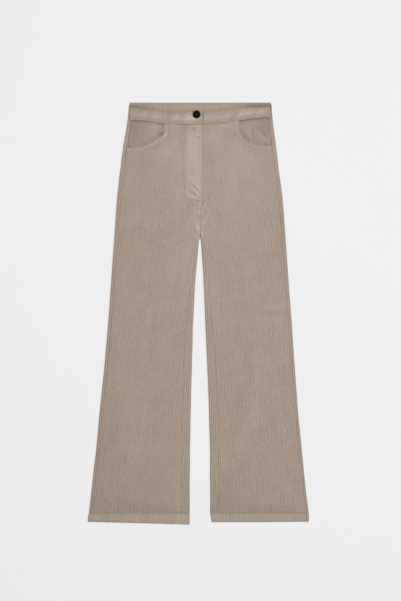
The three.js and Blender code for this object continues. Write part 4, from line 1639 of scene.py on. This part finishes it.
@dataclass(frozen=True)
class Thread:
    """Sewing thread, laid in stitches one after another along a path on the cloth."""

    length: float = 2.9
    space: float = 0.9
    radius: float = 0.36
    sides: int = 6
    rings: int = 5
    sink: float = 0.12
    tack_rise: float = 0.1

    def stitch(self, bm: BMesh, start: Array, end: Array) -> None:
        """Adds one stitch.

        Args:
            bm: The bmesh that it goes into.
            start, end: Its ends, as x, drop and height.
        """
        a, b = (Vector(point) for point in to_frame(np.array([start, end])))
        turn = (b - a).to_track_quat("Z", "Y").to_matrix().to_4x4()
        size = Vector((self.radius * MM, self.radius * MM, (b - a).length / 2))
        made = bmesh.ops.create_uvsphere(bm, u_segments=self.sides, v_segments=self.rings, radius=1)
        bmesh.ops.scale(bm, vec=size, verts=made["verts"])
        bmesh.ops.transform(bm, matrix=turn, verts=made["verts"])
        bmesh.ops.translate(bm, vec=(a + b) / 2, verts=made["verts"])

    def row(self, bm: BMesh, path: Array, height: Surface) -> None:
        """Adds a row of stitches.

        Args:
            bm: The bmesh that they go into.
            path: The places that the row passes through.
            height: Gives the height of the cloth at places.
        """
        done = np.concatenate([[0], np.cumsum(np.hypot(*np.diff(path, axis=0).T))])
        count = int(done[-1] / (self.length + self.space))
        starts = (np.arange(count) + 0.5) * done[-1] / count - self.length / 2
        at = np.stack([starts, starts + self.length], 1).ravel()
        x, drop = np.interp(at, done, path[:, 0]), np.interp(at, done, path[:, 1])
        points = spots(x, drop, height(x, drop) - self.sink)
        for start, end in points.reshape(-1, 2, 3):
            self.stitch(bm, start, end)

    def line(self, bm: BMesh, ends: Place, drop: float, height: Surface) -> None:
        """Adds a straight row at one drop, from one x to another."""
        self.row(bm, np.array([(end, drop) for end in ends]), height)

    def tack(self, bm: BMesh, start: Place, end: Place, width: float, height: Surface) -> None:
        """Adds a bar tack: close stitches side by side across a short line.

        Args:
            bm: The bmesh that it goes into.
            start, end: The ends of the line.
            width: The length of each stitch.
            height: Gives the height of the cloth at places.
        """
        (ax, ad), (bx, bd) = start, end
        long = math.hypot(bx - ax, bd - ad)
        nx, nd = -(bd - ad) / long * width / 2, (bx - ax) / long * width / 2
        for t in np.linspace(0, 1, round(long / (1.7 * self.radius)) + 1):
            x, drop = mix(ax, bx, t), mix(ad, bd, t)
            ends = np.array([(x - nx, drop - nd), (x + nx, drop + nd)])
            rise = height(ends[:, 0], ends[:, 1]) + self.tack_rise
            self.stitch(bm, *np.column_stack([ends, rise]))


class Stitching:
    """All the stitching that shows, in one joined piece for each place."""

    def __init__(self, thread: Thread, bands: dict[Side, FrontBand]) -> None:
        """Keeps the thread and the bands that it holds.

        Args:
            thread: The thread.
            bands: The front bands, whose surface the band's rows follow.
        """
        self.thread = thread
        self.bands = bands

    def build(self) -> dict[str, Piece]:
        """Makes every piece of stitching.

        Returns:
            The pieces, each under the name of the piece of cloth that it lies on.
        """
        made = {}
        for half in HALVES.values():
            side = half.side.label
            made[f"front_panel_{side}"] = self._front(half)
            made[f"back_panel_{side}"] = self._underside(half)
            made[f"waistband_front_{side}"] = self._band(half)
        made["waistband_back"] = self._back_band()
        return made

    def _front(self, half: Half) -> Piece:
        """Sews the pocket mouth, the hem and, on the right, the fly.

        Args:
            half: The half.

        Returns:
            The stitching on its front panel.
        """
        bm = bmesh.new()
        for row in MOUTH_ROWS:
            self.thread.row(bm, self._beside_mouth(half, row), half.panel_top)
        drop = np.full(60, HEM_LINE)
        ends = half.outer_seam(HEM_LINE), half.inner_seam(HEM_LINE)
        self.thread.row(bm, np.stack([np.linspace(*ends, 60), drop], 1), half.panel_top)
        corner = half.sign * half.scoop["corner"]
        low = half.scoop["corner_drop"]
        self.thread.tack(bm, (corner - 1.2 * half.sign, low - 5), (corner - 1.2 * half.sign, low + 1),
                         2.2, half.panel_top)
        if half.side is Side.RIGHT:
            for path in FLY.stitch_paths():
                self.thread.row(bm, path, half.panel_top)
            self.thread.tack(bm, (-12.0, FLY.bottom), (-2.0, FLY.bottom), 2.6, half.panel_top)
        return new_object(f"front_panel_{half.side.label}_stitching", bm)

    def _beside_mouth(self, half: Half, row: float) -> Array:
        """Draws a line on the front panel beside its pocket mouth.

        Args:
            half: The half.
            row: How far from the mouth it runs.

        Returns:
            Its points.
        """
        path = half.mouth
        along = np.gradient(path, axis=0)
        along /= np.maximum(np.hypot(*along.T), TINY)[:, None]
        moved = path + np.stack([-along[:, 1], along[:, 0]], 1) * half.sign * row
        apart, _ = nearest(path, moved[:, 0], moved[:, 1])
        inside = np.abs(moved[:, 0]) < np.abs(half.outer_seam(moved[:, 1])) - 1
        kept = (apart > row - 0.3) & inside & (moved[:, 1] > half.band_seam(moved[:, 0]) + 1)
        return moved[kept]

    def _underside(self, half: Half) -> Piece:
        """Sews the back's hem, on the floor and on the strips that are rolled on to the front.

        Args:
            half: The half.

        Returns:
            The stitching on its back panel.
        """
        bm = bmesh.new()
        rolled_edge = half.edge_height(HEM_LINE) / 2
        ends = half.outer(HEM_LINE) - half.sign * rolled_edge, half.inner(HEM_LINE) + half.sign * rolled_edge
        self.thread.line(bm, ends, HEM_LINE, level(FLOOR_ROW))

        def top(x: Array, drop: Array) -> Array:
            """The bottom of the hem's groove."""
            return half.body_height(x, drop) + half.puckers(x, drop) - BACK_HEM_GROOVE.height

        seams = half.outer_seam(HEM_LINE), half.inner_seam(HEM_LINE)
        for end, seam in zip(ends, seams):
            self.thread.line(bm, (end, seam), HEM_LINE, top)
        return new_object(f"back_panel_{half.side.label}_stitching", bm)

    def _band(self, half: Half) -> Piece:
        """Sews the rows along the front band, with the buttonhole's end on the right.

        Args:
            half: The half.

        Returns:
            The stitching on its band.
        """
        bm = bmesh.new()
        band = self.bands[half.side]

        def height(x: Array, drop: Array) -> Array:
            """The height of the band's face."""
            edge, seam = half.band_top(x), half.band_seam(x)
            return band.top(x, (drop - edge) / (seam - edge))

        low, high = (float(end[0]) for end in band.ends(np.array((0.8,))))
        if half.side is Side.LEFT:
            low = FRONT_SEAM["x"][0] + 2
        x = np.linspace(low + 1.5, high - 1.5, 60)
        for row in BAND_ROWS:
            self.thread.row(bm, np.stack([x, half.band_seam(x) - row], 1), height)
        if half.side is Side.RIGHT:
            x, drop = BUTTON_PLACE
            self.thread.tack(bm, (x - 12.5, drop - 1.6), (x - 12.5, drop + 1.6), 2.6, height)
        return new_object(f"waistband_front_{half.side.label}_stitching", bm)

    def _back_band(self) -> Piece:
        """Sews the rows on the outside of the back band, and the one inside it.

        Returns:
            The stitching.
        """
        bm = bmesh.new()
        inward = BAND_RADIUS + 1
        low, high = (half.band_edge(1.0) - half.sign * inward for half in HALVES.values())
        for row in BAND_ROWS:
            self.thread.line(bm, (low, high), BACK_BAND_DEPTH - row, level(FLOOR_ROW))
        self.thread.line(bm, (low + 2, high - 2), INSIDE_ROW, level(BAND_CLOTH - 0.3))
        return new_object("waistband_back_stitching", bm)


@dataclass
class Zip:
    """The zip under the fly: a woven tape with two rows of teeth. It is closed, and nothing of it shows."""

    sides: Place = (-28.0, -3.0)
    ends: Place = (62.0, 246.0)
    base: float = 3.2
    tape: float = 0.6
    tooth: tuple[float, float, float] = (2.6, 1.1, 0.5)
    tooth_pitch: float = 2.2
    bevel: float = 0.12

    def build(self) -> tuple[Piece, Piece]:
        """Makes the zip.

        Returns:
            The tape and the teeth.
        """
        tape = Strip("fly_zip_tape", self.sides, self.ends, self.base, self.tape).build()
        bm = bmesh.new()
        middle = sum(self.sides) / 2
        wide, long, high = self.tooth
        drops = np.arange(self.ends[0] + 6, self.ends[1] - 6, self.tooth_pitch)
        for number, drop in enumerate(drops):
            x = middle + (0.45 if number % 2 else -0.45) * wide
            point = Vector(to_frame(np.array([[x, drop, self.base + self.tape + high / 2]]))[0])
            made = bmesh.ops.create_cube(bm, size=1)["verts"]
            bmesh.ops.scale(bm, vec=Vector((wide, long, high)) * MM, verts=made)
            bmesh.ops.translate(bm, vec=point, verts=made)
        bmesh.ops.bevel(bm, geom=bm.edges[:], offset=self.bevel * MM, affect="EDGES", segments=1,
                        profile=0.5, material=-1)
        return tape, new_object("fly_zip_teeth", bm)


@dataclass
class Button:
    """The waist button: a turned disc with a raised rim, four holes and a cross of thread."""

    radius: float = 10.0
    thickness: float = 3.2
    dish: float = 1.0
    rim: float = 2.6
    hole_radius: float = 0.95
    hole_ring: float = 2.1
    base: float = BAND_TOP + BAND_CLOTH + 2 * GAP
    turns: int = 72
    strands: tuple[float, ...] = (-0.42, 0.0, 0.42)

    def _profile(self) -> list[Place]:
        """Draws half of the button's section.

        Returns:
            Its points, from the middle of the front round to the middle of the back.
        """
        r, t, dish, rim = self.radius, self.thickness, self.dish, self.rim
        bowl = [(s * (r - rim - 1.6), t - dish + 0.12 * s**2) for s in np.linspace(0, 1, 6)]
        crest = [(r - rim / 2 - 0.1 - rim / 2 * math.cos(a), t - 0.35 + 0.35 * math.sin(a))
                 for a in np.linspace(0.1, math.pi / 2, 5)]
        side = [(r - 0.95 * (1 - math.sin(a)) - 0.02, t - 0.95 + 0.95 * math.cos(a))
                for a in np.linspace(0.25, math.pi / 2, 6)]
        back = [(r - 0.15, 1.2), (r - 0.7, 0.45), (r - 1.7, 0.0), (r - 5, 0.0), (0.0, 0.0)]
        return bowl + crest + side + back

    def build(self) -> Piece:
        """Spins the disc and drills the holes.

        Returns:
            The disc.
        """
        bm = bmesh.new()
        points = [bm.verts.new((x * MM, 0, z * MM)) for x, z in self._profile()]
        edges = [bm.edges.new(pair) for pair in zip(points, points[1:])]
        bmesh.ops.spin(bm, geom=points + edges, axis=(0, 0, 1), cent=(0, 0, 0), dvec=(0, 0, 0),
                       angle=2 * math.pi, steps=self.turns, use_merge=True)
        bmesh.ops.remove_doubles(bm, verts=bm.verts, dist=0.005 * MM)
        bmesh.ops.recalc_face_normals(bm, faces=bm.faces)
        disc = new_object("waist_button_disc", bm)
        drill = self._drill()
        cut = disc.modifiers.new("holes", "BOOLEAN")
        cut.operation, cut.object, cut.solver = "DIFFERENCE", drill, "EXACT"
        mesh = bpy.data.meshes.new_from_object(disc.evaluated_get(bpy.context.evaluated_depsgraph_get()))
        disc.modifiers.remove(cut)
        disc.data = mesh
        bpy.data.objects.remove(drill)
        mesh.set_sharp_from_angle(angle=math.radians(50))
        place = to_frame(np.array([[*BUTTON_PLACE, self.base]]))[0]
        mesh.transform(Matrix.Translation(Vector(place)))
        return disc

    def _drill(self) -> Piece:
        """Makes four cylinders where the holes go.

        Returns:
            The cylinders, in one object.
        """
        bm = bmesh.new()
        for turn in self._turns():
            made = bmesh.ops.create_cone(bm, cap_ends=True, segments=20, radius1=self.hole_radius * MM,
                                         radius2=self.hole_radius * MM, depth=4 * self.thickness * MM)
            spot = Vector((math.cos(turn), math.sin(turn), 0)) * self.hole_ring * MM
            bmesh.ops.translate(bm, vec=spot, verts=made["verts"])
        return new_object("waist_button_drill", bm)

    def _turns(self) -> list[float]:
        """Directions of the four holes."""
        return [(number + 0.5) * math.pi / 2 for number in range(4)]

    def thread(self) -> Piece:
        """Crosses the thread that holds the button between its holes.

        Returns:
            The thread.
        """
        bm = bmesh.new()
        thread = Thread(radius=0.32, rings=7)
        height = self.base + self.thickness - self.dish + 0.15
        for turn in self._turns()[:2]:
            for beside in self.strands:
                dx, dd = math.cos(turn) * self.hole_ring * 1.15, math.sin(turn) * self.hole_ring * 1.15
                ox, od = -math.sin(turn) * beside, math.cos(turn) * beside
                x, drop = BUTTON_PLACE
                lift = height + (0.2 if turn > 1 else 0)
                thread.stitch(bm, (x + ox - dx, drop + od - dd, lift), (x + ox + dx, drop + od + dd, lift))
        return new_object("waist_button_thread", bm)


# Shader graphs.


def maths(operation: str, turned: bool = False) -> Callable[..., "Sock"]:
    """Makes a method that adds a Math node.

    Args:
        operation: What the node does.
        turned: Puts the other value first.

    Returns:
        The method.
    """

    def method(self: "Sock", *others: Number) -> "Sock":
        """Adds the node."""
        values = (*others, self) if turned else (self, *others)
        return self.graph.node("ShaderNodeMath", dict(operation=operation), dict(enumerate(values)))

    return method


class Sock:
    """A number on a shader socket that takes part in arithmetic."""

    __add__ = __radd__ = maths("ADD")
    __sub__, __rsub__ = maths("SUBTRACT"), maths("SUBTRACT", turned=True)
    __mul__ = __rmul__ = maths("MULTIPLY")
    __abs__ = maths("ABSOLUTE")
    part = maths("FRACT")  # what is left over a whole number
    wave = maths("SINE")

    def __init__(self, graph: "Graph", socket: bpy.types.NodeSocket) -> None:
        """Wraps an output socket of a graph."""
        self.graph = graph
        self.socket = socket


class Graph:
    """A material's nodes."""

    def __init__(self, name: str) -> None:
        """Starts an empty material.

        Args:
            name: Its name.
        """
        self.material = bpy.data.materials.new(name)
        self.material.use_nodes = True
        self.tree = self.material.node_tree
        self.tree.nodes.clear()

    def node(self, kind: str, settings: dict[str, object], values: dict[str | int, object],
             output: int | str = 0) -> Sock:
        """Adds a node.

        Args:
            kind: Its type.
            settings: Its own settings, which are set first.
            values: The values or links of its sockets.
            output: The output that is wanted.

        Returns:
            That output.
        """
        made = self.tree.nodes.new(kind)
        for name, value in settings.items():
            setattr(made, name, value)
        for name, value in values.items():
            if isinstance(value, Sock):
                self.tree.links.new(value.socket, made.inputs[name])
            else:
                made.inputs[name].default_value = value
        return Sock(self, made.outputs[output])

    def where(self) -> Sock:
        """The place on the object."""
        return self.node("ShaderNodeTexCoord", {}, {}, "Object")

    def attribute(self, name: str) -> Sock:
        """A number that the mesh carries."""
        return self.node("ShaderNodeAttribute", dict(attribute_name=name), {}, "Fac")

    def vector(self, x: Number, y: Number, z: Number = 0.0) -> Sock:
        """Three numbers as a vector."""
        return self.node("ShaderNodeCombineXYZ", {}, dict(X=x, Y=y, Z=z))

    def noise(self, where: Sock, scale: float, detail: float = 2.0, rough: float = 0.5) -> Sock:
        """Smooth noise from 0 to 1."""
        values = dict(Vector=where, Scale=scale, Detail=detail, Roughness=rough)
        return self.node("ShaderNodeTexNoise", dict(noise_dimensions="3D"), values)

    def step(self, value: Sock, start: float, end: float) -> Sock:
        """A soft step from 0 at start to 1 at end."""
        values = {"Value": value, "From Min": start, "From Max": end}
        return self.node("ShaderNodeMapRange", dict(interpolation_type="SMOOTHSTEP"), values)

    def blend(self, factor: Number, first: object, second: object) -> Sock:
        """A colour between two."""
        settings = dict(data_type="RGBA", blend_type="MIX")
        return self.node("ShaderNodeMix", settings, {0: factor, 6: first, 7: second}, 2)

    def scaled(self, colour: Sock | Colour, factor: Sock) -> Sock:
        """A colour made lighter or darker."""
        return self.node("ShaderNodeVectorMath", dict(operation="SCALE"), {0: colour, "Scale": factor})

    def bump(self, height: Sock, distance: float, strength: float = 1.0) -> Sock:
        """A normal from heights."""
        return self.node("ShaderNodeBump", {}, dict(Height=height, Distance=distance, Strength=strength))

    def finish(self, **values: object) -> bpy.types.Material:
        """Puts a Principled shader with those values on the output.

        Args:
            values: The sockets' values or links, with _ for each space of their names.

        Returns:
            The material.
        """
        named = {name.replace("_", " "): value for name, value in values.items()}
        shader = self.node("ShaderNodeBsdfPrincipled", {}, named)
        self.node_out(shader)
        return self.material

    def node_out(self, shader: Sock) -> None:
        """Links a shader to the material's output."""
        made = self.tree.nodes.new("ShaderNodeOutputMaterial")
        self.tree.links.new(shader.socket, made.inputs["Surface"])


def rgba(colour: Colour) -> tuple[float, float, float, float]:
    """A colour with full alpha."""
    return (*colour, 1.0)


# Finishes.


@dataclass(frozen=True)
class Corduroy:
    """Cotton corduroy: tufted cords with bare ground between them, darkened as painted shade in the furrows,
    brushed unevenly.
    """

    name: str = "corduroy"
    pile: Colour = (0.484, 0.389, 0.315)
    # the bare ground between the cords, darker than the weave alone as painted shade in the furrows
    ground: Colour = (0.19, 0.146, 0.114)
    # a lit copy of the pile colour, towards which painted light blends it
    lit: Colour = (0.565, 0.485, 0.414)
    furrow_start: float = 0.6
    wander: float = 0.2
    tuft: float = 0.85  # millimetres from one row of tufts to the next
    relief: float = 0.3 * MM

    def material(self) -> bpy.types.Material:
        """Makes the finish.

        Returns:
            The material.
        """
        g = Graph(self.name)
        cord, run, shade, pressed = (g.attribute(name) for name in ("cord", "run", "shade", "pressed"))
        unsteady = g.noise(g.vector(cord * 0.6, run * 0.035), 1.0)
        line = cord + (unsteady - 0.5) * self.wander
        beside = abs((line + 0.5).part() - 0.5) * 2.0
        filled = g.noise(g.vector(cord * 1.3, run * 0.12, 9.0), 1.0, 3.0, 0.6)
        pile = g.noise(g.vector(cord * 7.5, run * 1.3), 1.0, 3.0, 0.6)
        closed = g.step(filled, 0.15, 0.75) * (1.0 - g.step(shade, 0.1, 0.9) * 0.7) * (1.0 - pressed)
        ragged = beside + (pile - 0.5) * 0.3
        # the furrows between the cords take the ground colour: the bare weave, with painted shade
        furrow_shade_mask = g.step(ragged, self.furrow_start, 0.98) * closed
        fibre = g.noise(g.vector(cord * 19.0, run * 2.4, 3.0), 1.0, 2.0, 0.6)
        tufts = (run * (2 * math.pi / self.tuft) + pile * 7.0).wave() * 0.5 + 0.5
        streak = g.noise(g.vector(cord * 0.8, run * 0.008, 7.0), 1.0, 2.0)
        brushed = g.noise(g.vector(cord * 0.11, run * 0.022, 11.0), 1.0, 3.0, 0.55)
        worn = g.noise(g.vector(cord * 0.9, run * 0.11, 5.0), 1.0, 3.0, 0.6)
        mottle = (pile - 0.5) * 0.42 + (fibre - 0.5) * 0.24 + (worn - 0.5) * 0.22
        tone = 1.0 + mottle + (streak - 0.5) * 0.16 + (brushed - 0.5) * 0.2 + shade * 0.2 - pressed * 0.08
        # painted light: where the shade is high, the pile takes its lit colour
        lit_share = g.step(shade, 0.0, 1.0)
        colour = g.blend(lit_share, rgba(self.pile), rgba(self.lit))
        colour = g.blend(furrow_shade_mask, colour, rgba(self.ground))
        height = pile * 0.6 + fibre * 0.4 + tufts * 0.35
        return g.finish(
            Base_Color=g.scaled(colour, tone),
            Roughness=0.9 + (pile - 0.5) * 0.14,
            Normal=g.bump(height * (1.0 - furrow_shade_mask * 0.7), self.relief),
            Sheen_Weight=0.22,
            Sheen_Roughness=0.45,
            Sheen_Tint=rgba((0.95, 0.9, 0.84)),
            Specular_IOR_Level=0.2,
        )


@dataclass(frozen=True)
class Cotton:
    """Spun cotton thread, or a tape woven of it, with its twist."""

    name: str
    colour: Colour
    twist: float = 2600.0
    rough: float = 0.75

    def material(self) -> bpy.types.Material:
        """Makes the finish.

        Returns:
            The material.
        """
        g = Graph(self.name)
        where = g.where()
        settings = dict(operation="DOT_PRODUCT")
        slanting = g.node("ShaderNodeVectorMath", settings, {0: where, 1: (1, 1, 0)}, "Value")
        plies = (slanting * (math.pi * self.twist)).wave() * 0.5 + 0.5
        fluff = g.noise(where, self.twist, 3.0, 0.6)
        tone = 0.82 + plies * 0.16 + fluff * 0.22
        return g.finish(
            Base_Color=g.scaled(self.colour, tone),
            Roughness=self.rough + (fluff - 0.5) * 0.2,
            Normal=g.bump(plies * 0.7 + fluff * 0.5, 0.06 * MM),
            Sheen_Weight=0.15,
        )


@dataclass(frozen=True)
class Horn:
    """Polished dark horn, faintly clouded."""

    name: str = "dark_horn"
    dark: Colour = (0.0024, 0.0018, 0.0015)
    cloud: Colour = (0.010, 0.0072, 0.0054)

    def material(self) -> bpy.types.Material:
        """Makes the finish.

        Returns:
            The material.
        """
        g = Graph(self.name)
        where = g.where()
        clouds = g.noise(where, 170.0, 4.0, 0.6)
        grain = g.noise(where, 1400.0, 2.0)
        mask = g.step(clouds, 0.45, 0.75)
        return g.finish(
            Base_Color=g.blend(mask, rgba(self.dark), rgba(self.cloud)),
            Roughness=0.4 + clouds * 0.12 + (grain - 0.5) * 0.1,
            Normal=g.bump(grain, 0.01 * MM),
            Specular_IOR_Level=0.04,
        )


@dataclass(frozen=True)
class Brass:
    """Brass zip teeth, dulled unevenly."""

    name: str = "zip_brass"
    bright: Colour = (0.55, 0.42, 0.24)
    dull: Colour = (0.3, 0.22, 0.13)

    def material(self) -> bpy.types.Material:
        """Makes the finish.

        Returns:
            The material.
        """
        g = Graph(self.name)
        worn = g.noise(g.where(), 420.0, 3.0)
        return g.finish(
            Base_Color=g.blend(worn, rgba(self.bright), rgba(self.dull)),
            Metallic=1.0,
            Roughness=0.3 + worn * 0.3,
            Normal=g.bump(worn, 0.02 * MM),
        )


# The studio.


@dataclass(frozen=True)
class Lamp:
    """A soft square lamp that points at the middle of the garment."""

    name: str
    place: tuple[float, float, float]
    size: float
    power: float

    def build(self) -> None:
        """Adds the lamp."""
        data = bpy.data.lights.new(self.name, "AREA")
        data.shape, data.size, data.energy = "SQUARE", self.size, self.power
        lamp = bpy.data.objects.new(self.name, data)
        lamp.location = self.place
        lamp.rotation_euler = Vector(self.place).to_track_quat("Z", "Y").to_euler()
        lamp.visible_camera = False
        bpy.context.scene.collection.objects.link(lamp)


LAMPS = (
    Lamp("side_lamp", (3.0, 0.5, 5.2), 2.2, 180.0),
    Lamp("top_lamp", (0.0, 0.42, 1.7), 0.9, 8.4),
)


@dataclass
class Studio:
    """A plain pale floor, soft light from above and from one side, and a camera that looks straight down."""

    floor_size: float = 240.0
    floor_drop: float = 0.0004
    camera_height: float = 3.0
    view_long_side: float = 1.5326  # what the long side of the view takes in at the cloth's height
    view_shift: tuple[float, float] = (0.0052, 0.0330)  # from the middle of the garment
    cloth_height: float = 0.007
    sensor: float = 36.0
    fill: float = 0.225
    glow: float = 0.706
    floor_grey: float = 0.17
    beyond: float = 0.744

    def build(self) -> None:
        """Makes the floor, the lights and the camera."""
        self._floor()
        for lamp in LAMPS:
            lamp.build()
        self._world()
        self._camera()
        bpy.context.scene.view_settings.view_transform = "Standard"

    def _floor(self) -> None:
        """A large plane just under the cloth, pale and nearly even."""
        bm = bmesh.new()
        bmesh.ops.create_grid(bm, x_segments=1, y_segments=1, size=self.floor_size / 2)
        bmesh.ops.translate(bm, vec=(0, 0, -self.floor_drop), verts=bm.verts)
        floor = new_object("floor", bm)
        floor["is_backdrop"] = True
        g = Graph("pale_floor")
        grey = g.noise(g.where(), 3.0) * 0.01 + self.floor_grey
        floor.data.materials.append(g.finish(
            Base_Color=g.vector(grey, grey, grey),
            Roughness=0.9,
            Specular_IOR_Level=0.0,
            Emission_Color=rgba((1.0, 1.0, 1.0)),
            Emission_Strength=self.glow,
        ))

    def _world(self) -> None:
        """Even light from all round, and the floor's own grey behind it."""
        world = bpy.data.worlds.new("studio")
        bpy.context.scene.world = world
        world.use_nodes = True
        tree = world.node_tree
        ground = tree.nodes["Background"]
        ground.inputs["Color"].default_value = rgba((1.0, 1.0, 1.0))
        path = tree.nodes.new("ShaderNodeLightPath")
        seen = tree.nodes.new("ShaderNodeMapRange")
        seen.inputs["To Min"].default_value = self.fill
        seen.inputs["To Max"].default_value = self.beyond
        tree.links.new(path.outputs["Is Camera Ray"], seen.inputs["Value"])
        tree.links.new(seen.outputs[0], ground.inputs["Strength"])

    def _camera(self) -> None:
        """A long lens, straight down."""
        data = bpy.data.cameras.new("camera")
        data.sensor_width = self.sensor
        data.lens = self.sensor * self.camera_height / self.view_long_side
        camera = bpy.data.objects.new("camera", data)
        low, high = CAD_BOUNDS
        camera.location = (
            (low.x + high.x) / 2 + self.view_shift[0],
            (low.y + high.y) / 2 + self.view_shift[1],
            self.cloth_height + self.camera_height,
        )
        bpy.context.scene.collection.objects.link(camera)
        bpy.context.scene.camera = camera


# The whole garment.

SLOTS = dict(
    front_panel="corduroy_front",
    back_panel="corduroy_back",
    pocket_facing="pocket_facing",
    waistband="waistband",
    fly_shield="fly_cloth",
)


def slot_of(node: str) -> str:
    """The slot of the finish of a piece of cloth."""
    return next(slot for start, slot in SLOTS.items() if node.startswith(start))


@dataclass
class Trousers:
    """All the pieces, made, dressed and fixed to the frame."""

    corduroy: Corduroy = field(default_factory=Corduroy)

    def build(self) -> None:
        """Makes every piece and reports it."""
        cloth = self._cloth()
        bands = {half.side: FrontBand(half) for half in HALVES.values()}
        stitching = Stitching(Thread(), bands).build()
        thread = Cotton("thread", (0.43, 0.35, 0.285)).material()
        for node, piece in stitching.items():
            piece.data.materials.append(thread)
            ride(piece, slot_of(node))
        self._declare(cloth)
        self._fastenings()

    def _cloth(self) -> dict[str, tuple[Piece, Wall]]:
        """Makes the walls of cloth.

        Returns:
            The pieces and what made them, under the names of the nodes that they replace.
        """
        shield = Strip("fly_shield_corduroy", (-44, 12), (60, 254), BACK_CLOTH + GAP, 1.1)
        walls: dict[str, Wall] = dict(waistband_back=BackBand(), fly_shield=shield)
        for half in HALVES.values():
            side = half.side.label
            walls[f"front_panel_{side}"] = FrontPanel(half)
            walls[f"back_panel_{side}"] = BackPanel(half)
            walls[f"pocket_facing_{side}"] = HipFacing(half)
            walls[f"waistband_front_{side}"] = FrontBand(half)
        finish = self.corduroy.material()
        made = {}
        for node, wall in walls.items():
            piece = ride(wall.build(), slot_of(node), node)
            piece.data.materials.append(finish)
            made[node] = piece, wall
        return made

    def _declare(self, cloth: dict[str, tuple[Piece, Wall]]) -> None:
        """States the cut of every sheet of cloth.

        Args:
            cloth: The pieces of cloth and what made them, under their nodes.
        """
        for node, (piece, wall) in cloth.items():
            flat, area = wall.cut_size()
            LOG.info("%s: cut %.3f x %.3f m, %.4f m2", piece.name, *flat, area)

    @staticmethod
    def _under(node: str) -> list[str]:
        """Finds what a piece of cloth lies on.

        Args:
            node: The node that it replaces.

        Returns:
            The names of the nodes under it.
        """
        side = node.rsplit("_", 1)[-1]
        below = {
            "front_panel": [f"back_panel_{side}", f"pocket_facing_{side}"],
            "pocket_facing": [f"back_panel_{side}"],
            "waistband_front": ["waistband_back"],
            "fly": ["back_panel_right", "back_panel_left"],
        }
        return next((names for start, names in below.items() if node.startswith(start)), ["floor"])

    def _fastenings(self) -> None:
        """Makes the zip and the button."""
        tape, teeth = Zip().build()
        tape.data.materials.append(Cotton("zip_tape", (0.28, 0.25, 0.22), 1500.0).material())
        teeth.data.materials.append(Brass().material())
        ride(tape, "zip", "fly_zip")
        ride(teeth, "zip")
        button = Button()
        disc, thread = button.build(), button.thread()
        disc.data.materials.clear()
        disc.data.materials.append(Horn().material())
        thread.data.materials.append(Cotton("dark_thread", (0.012, 0.0095, 0.008)).material())
        ride(disc, "button", "waist_button")
        ride(thread, "button")


def main() -> None:
    """Builds the garment and the studio."""
    logging.basicConfig(level=logging.INFO, format="%(message)s")
    Trousers().build()
    Studio().build()
    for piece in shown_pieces():
        LOG.info("%s: %d triangles", piece.name, sum(len(face.vertices) - 2 for face in piece.data.polygons))


if __name__ == "__main__":
    main()
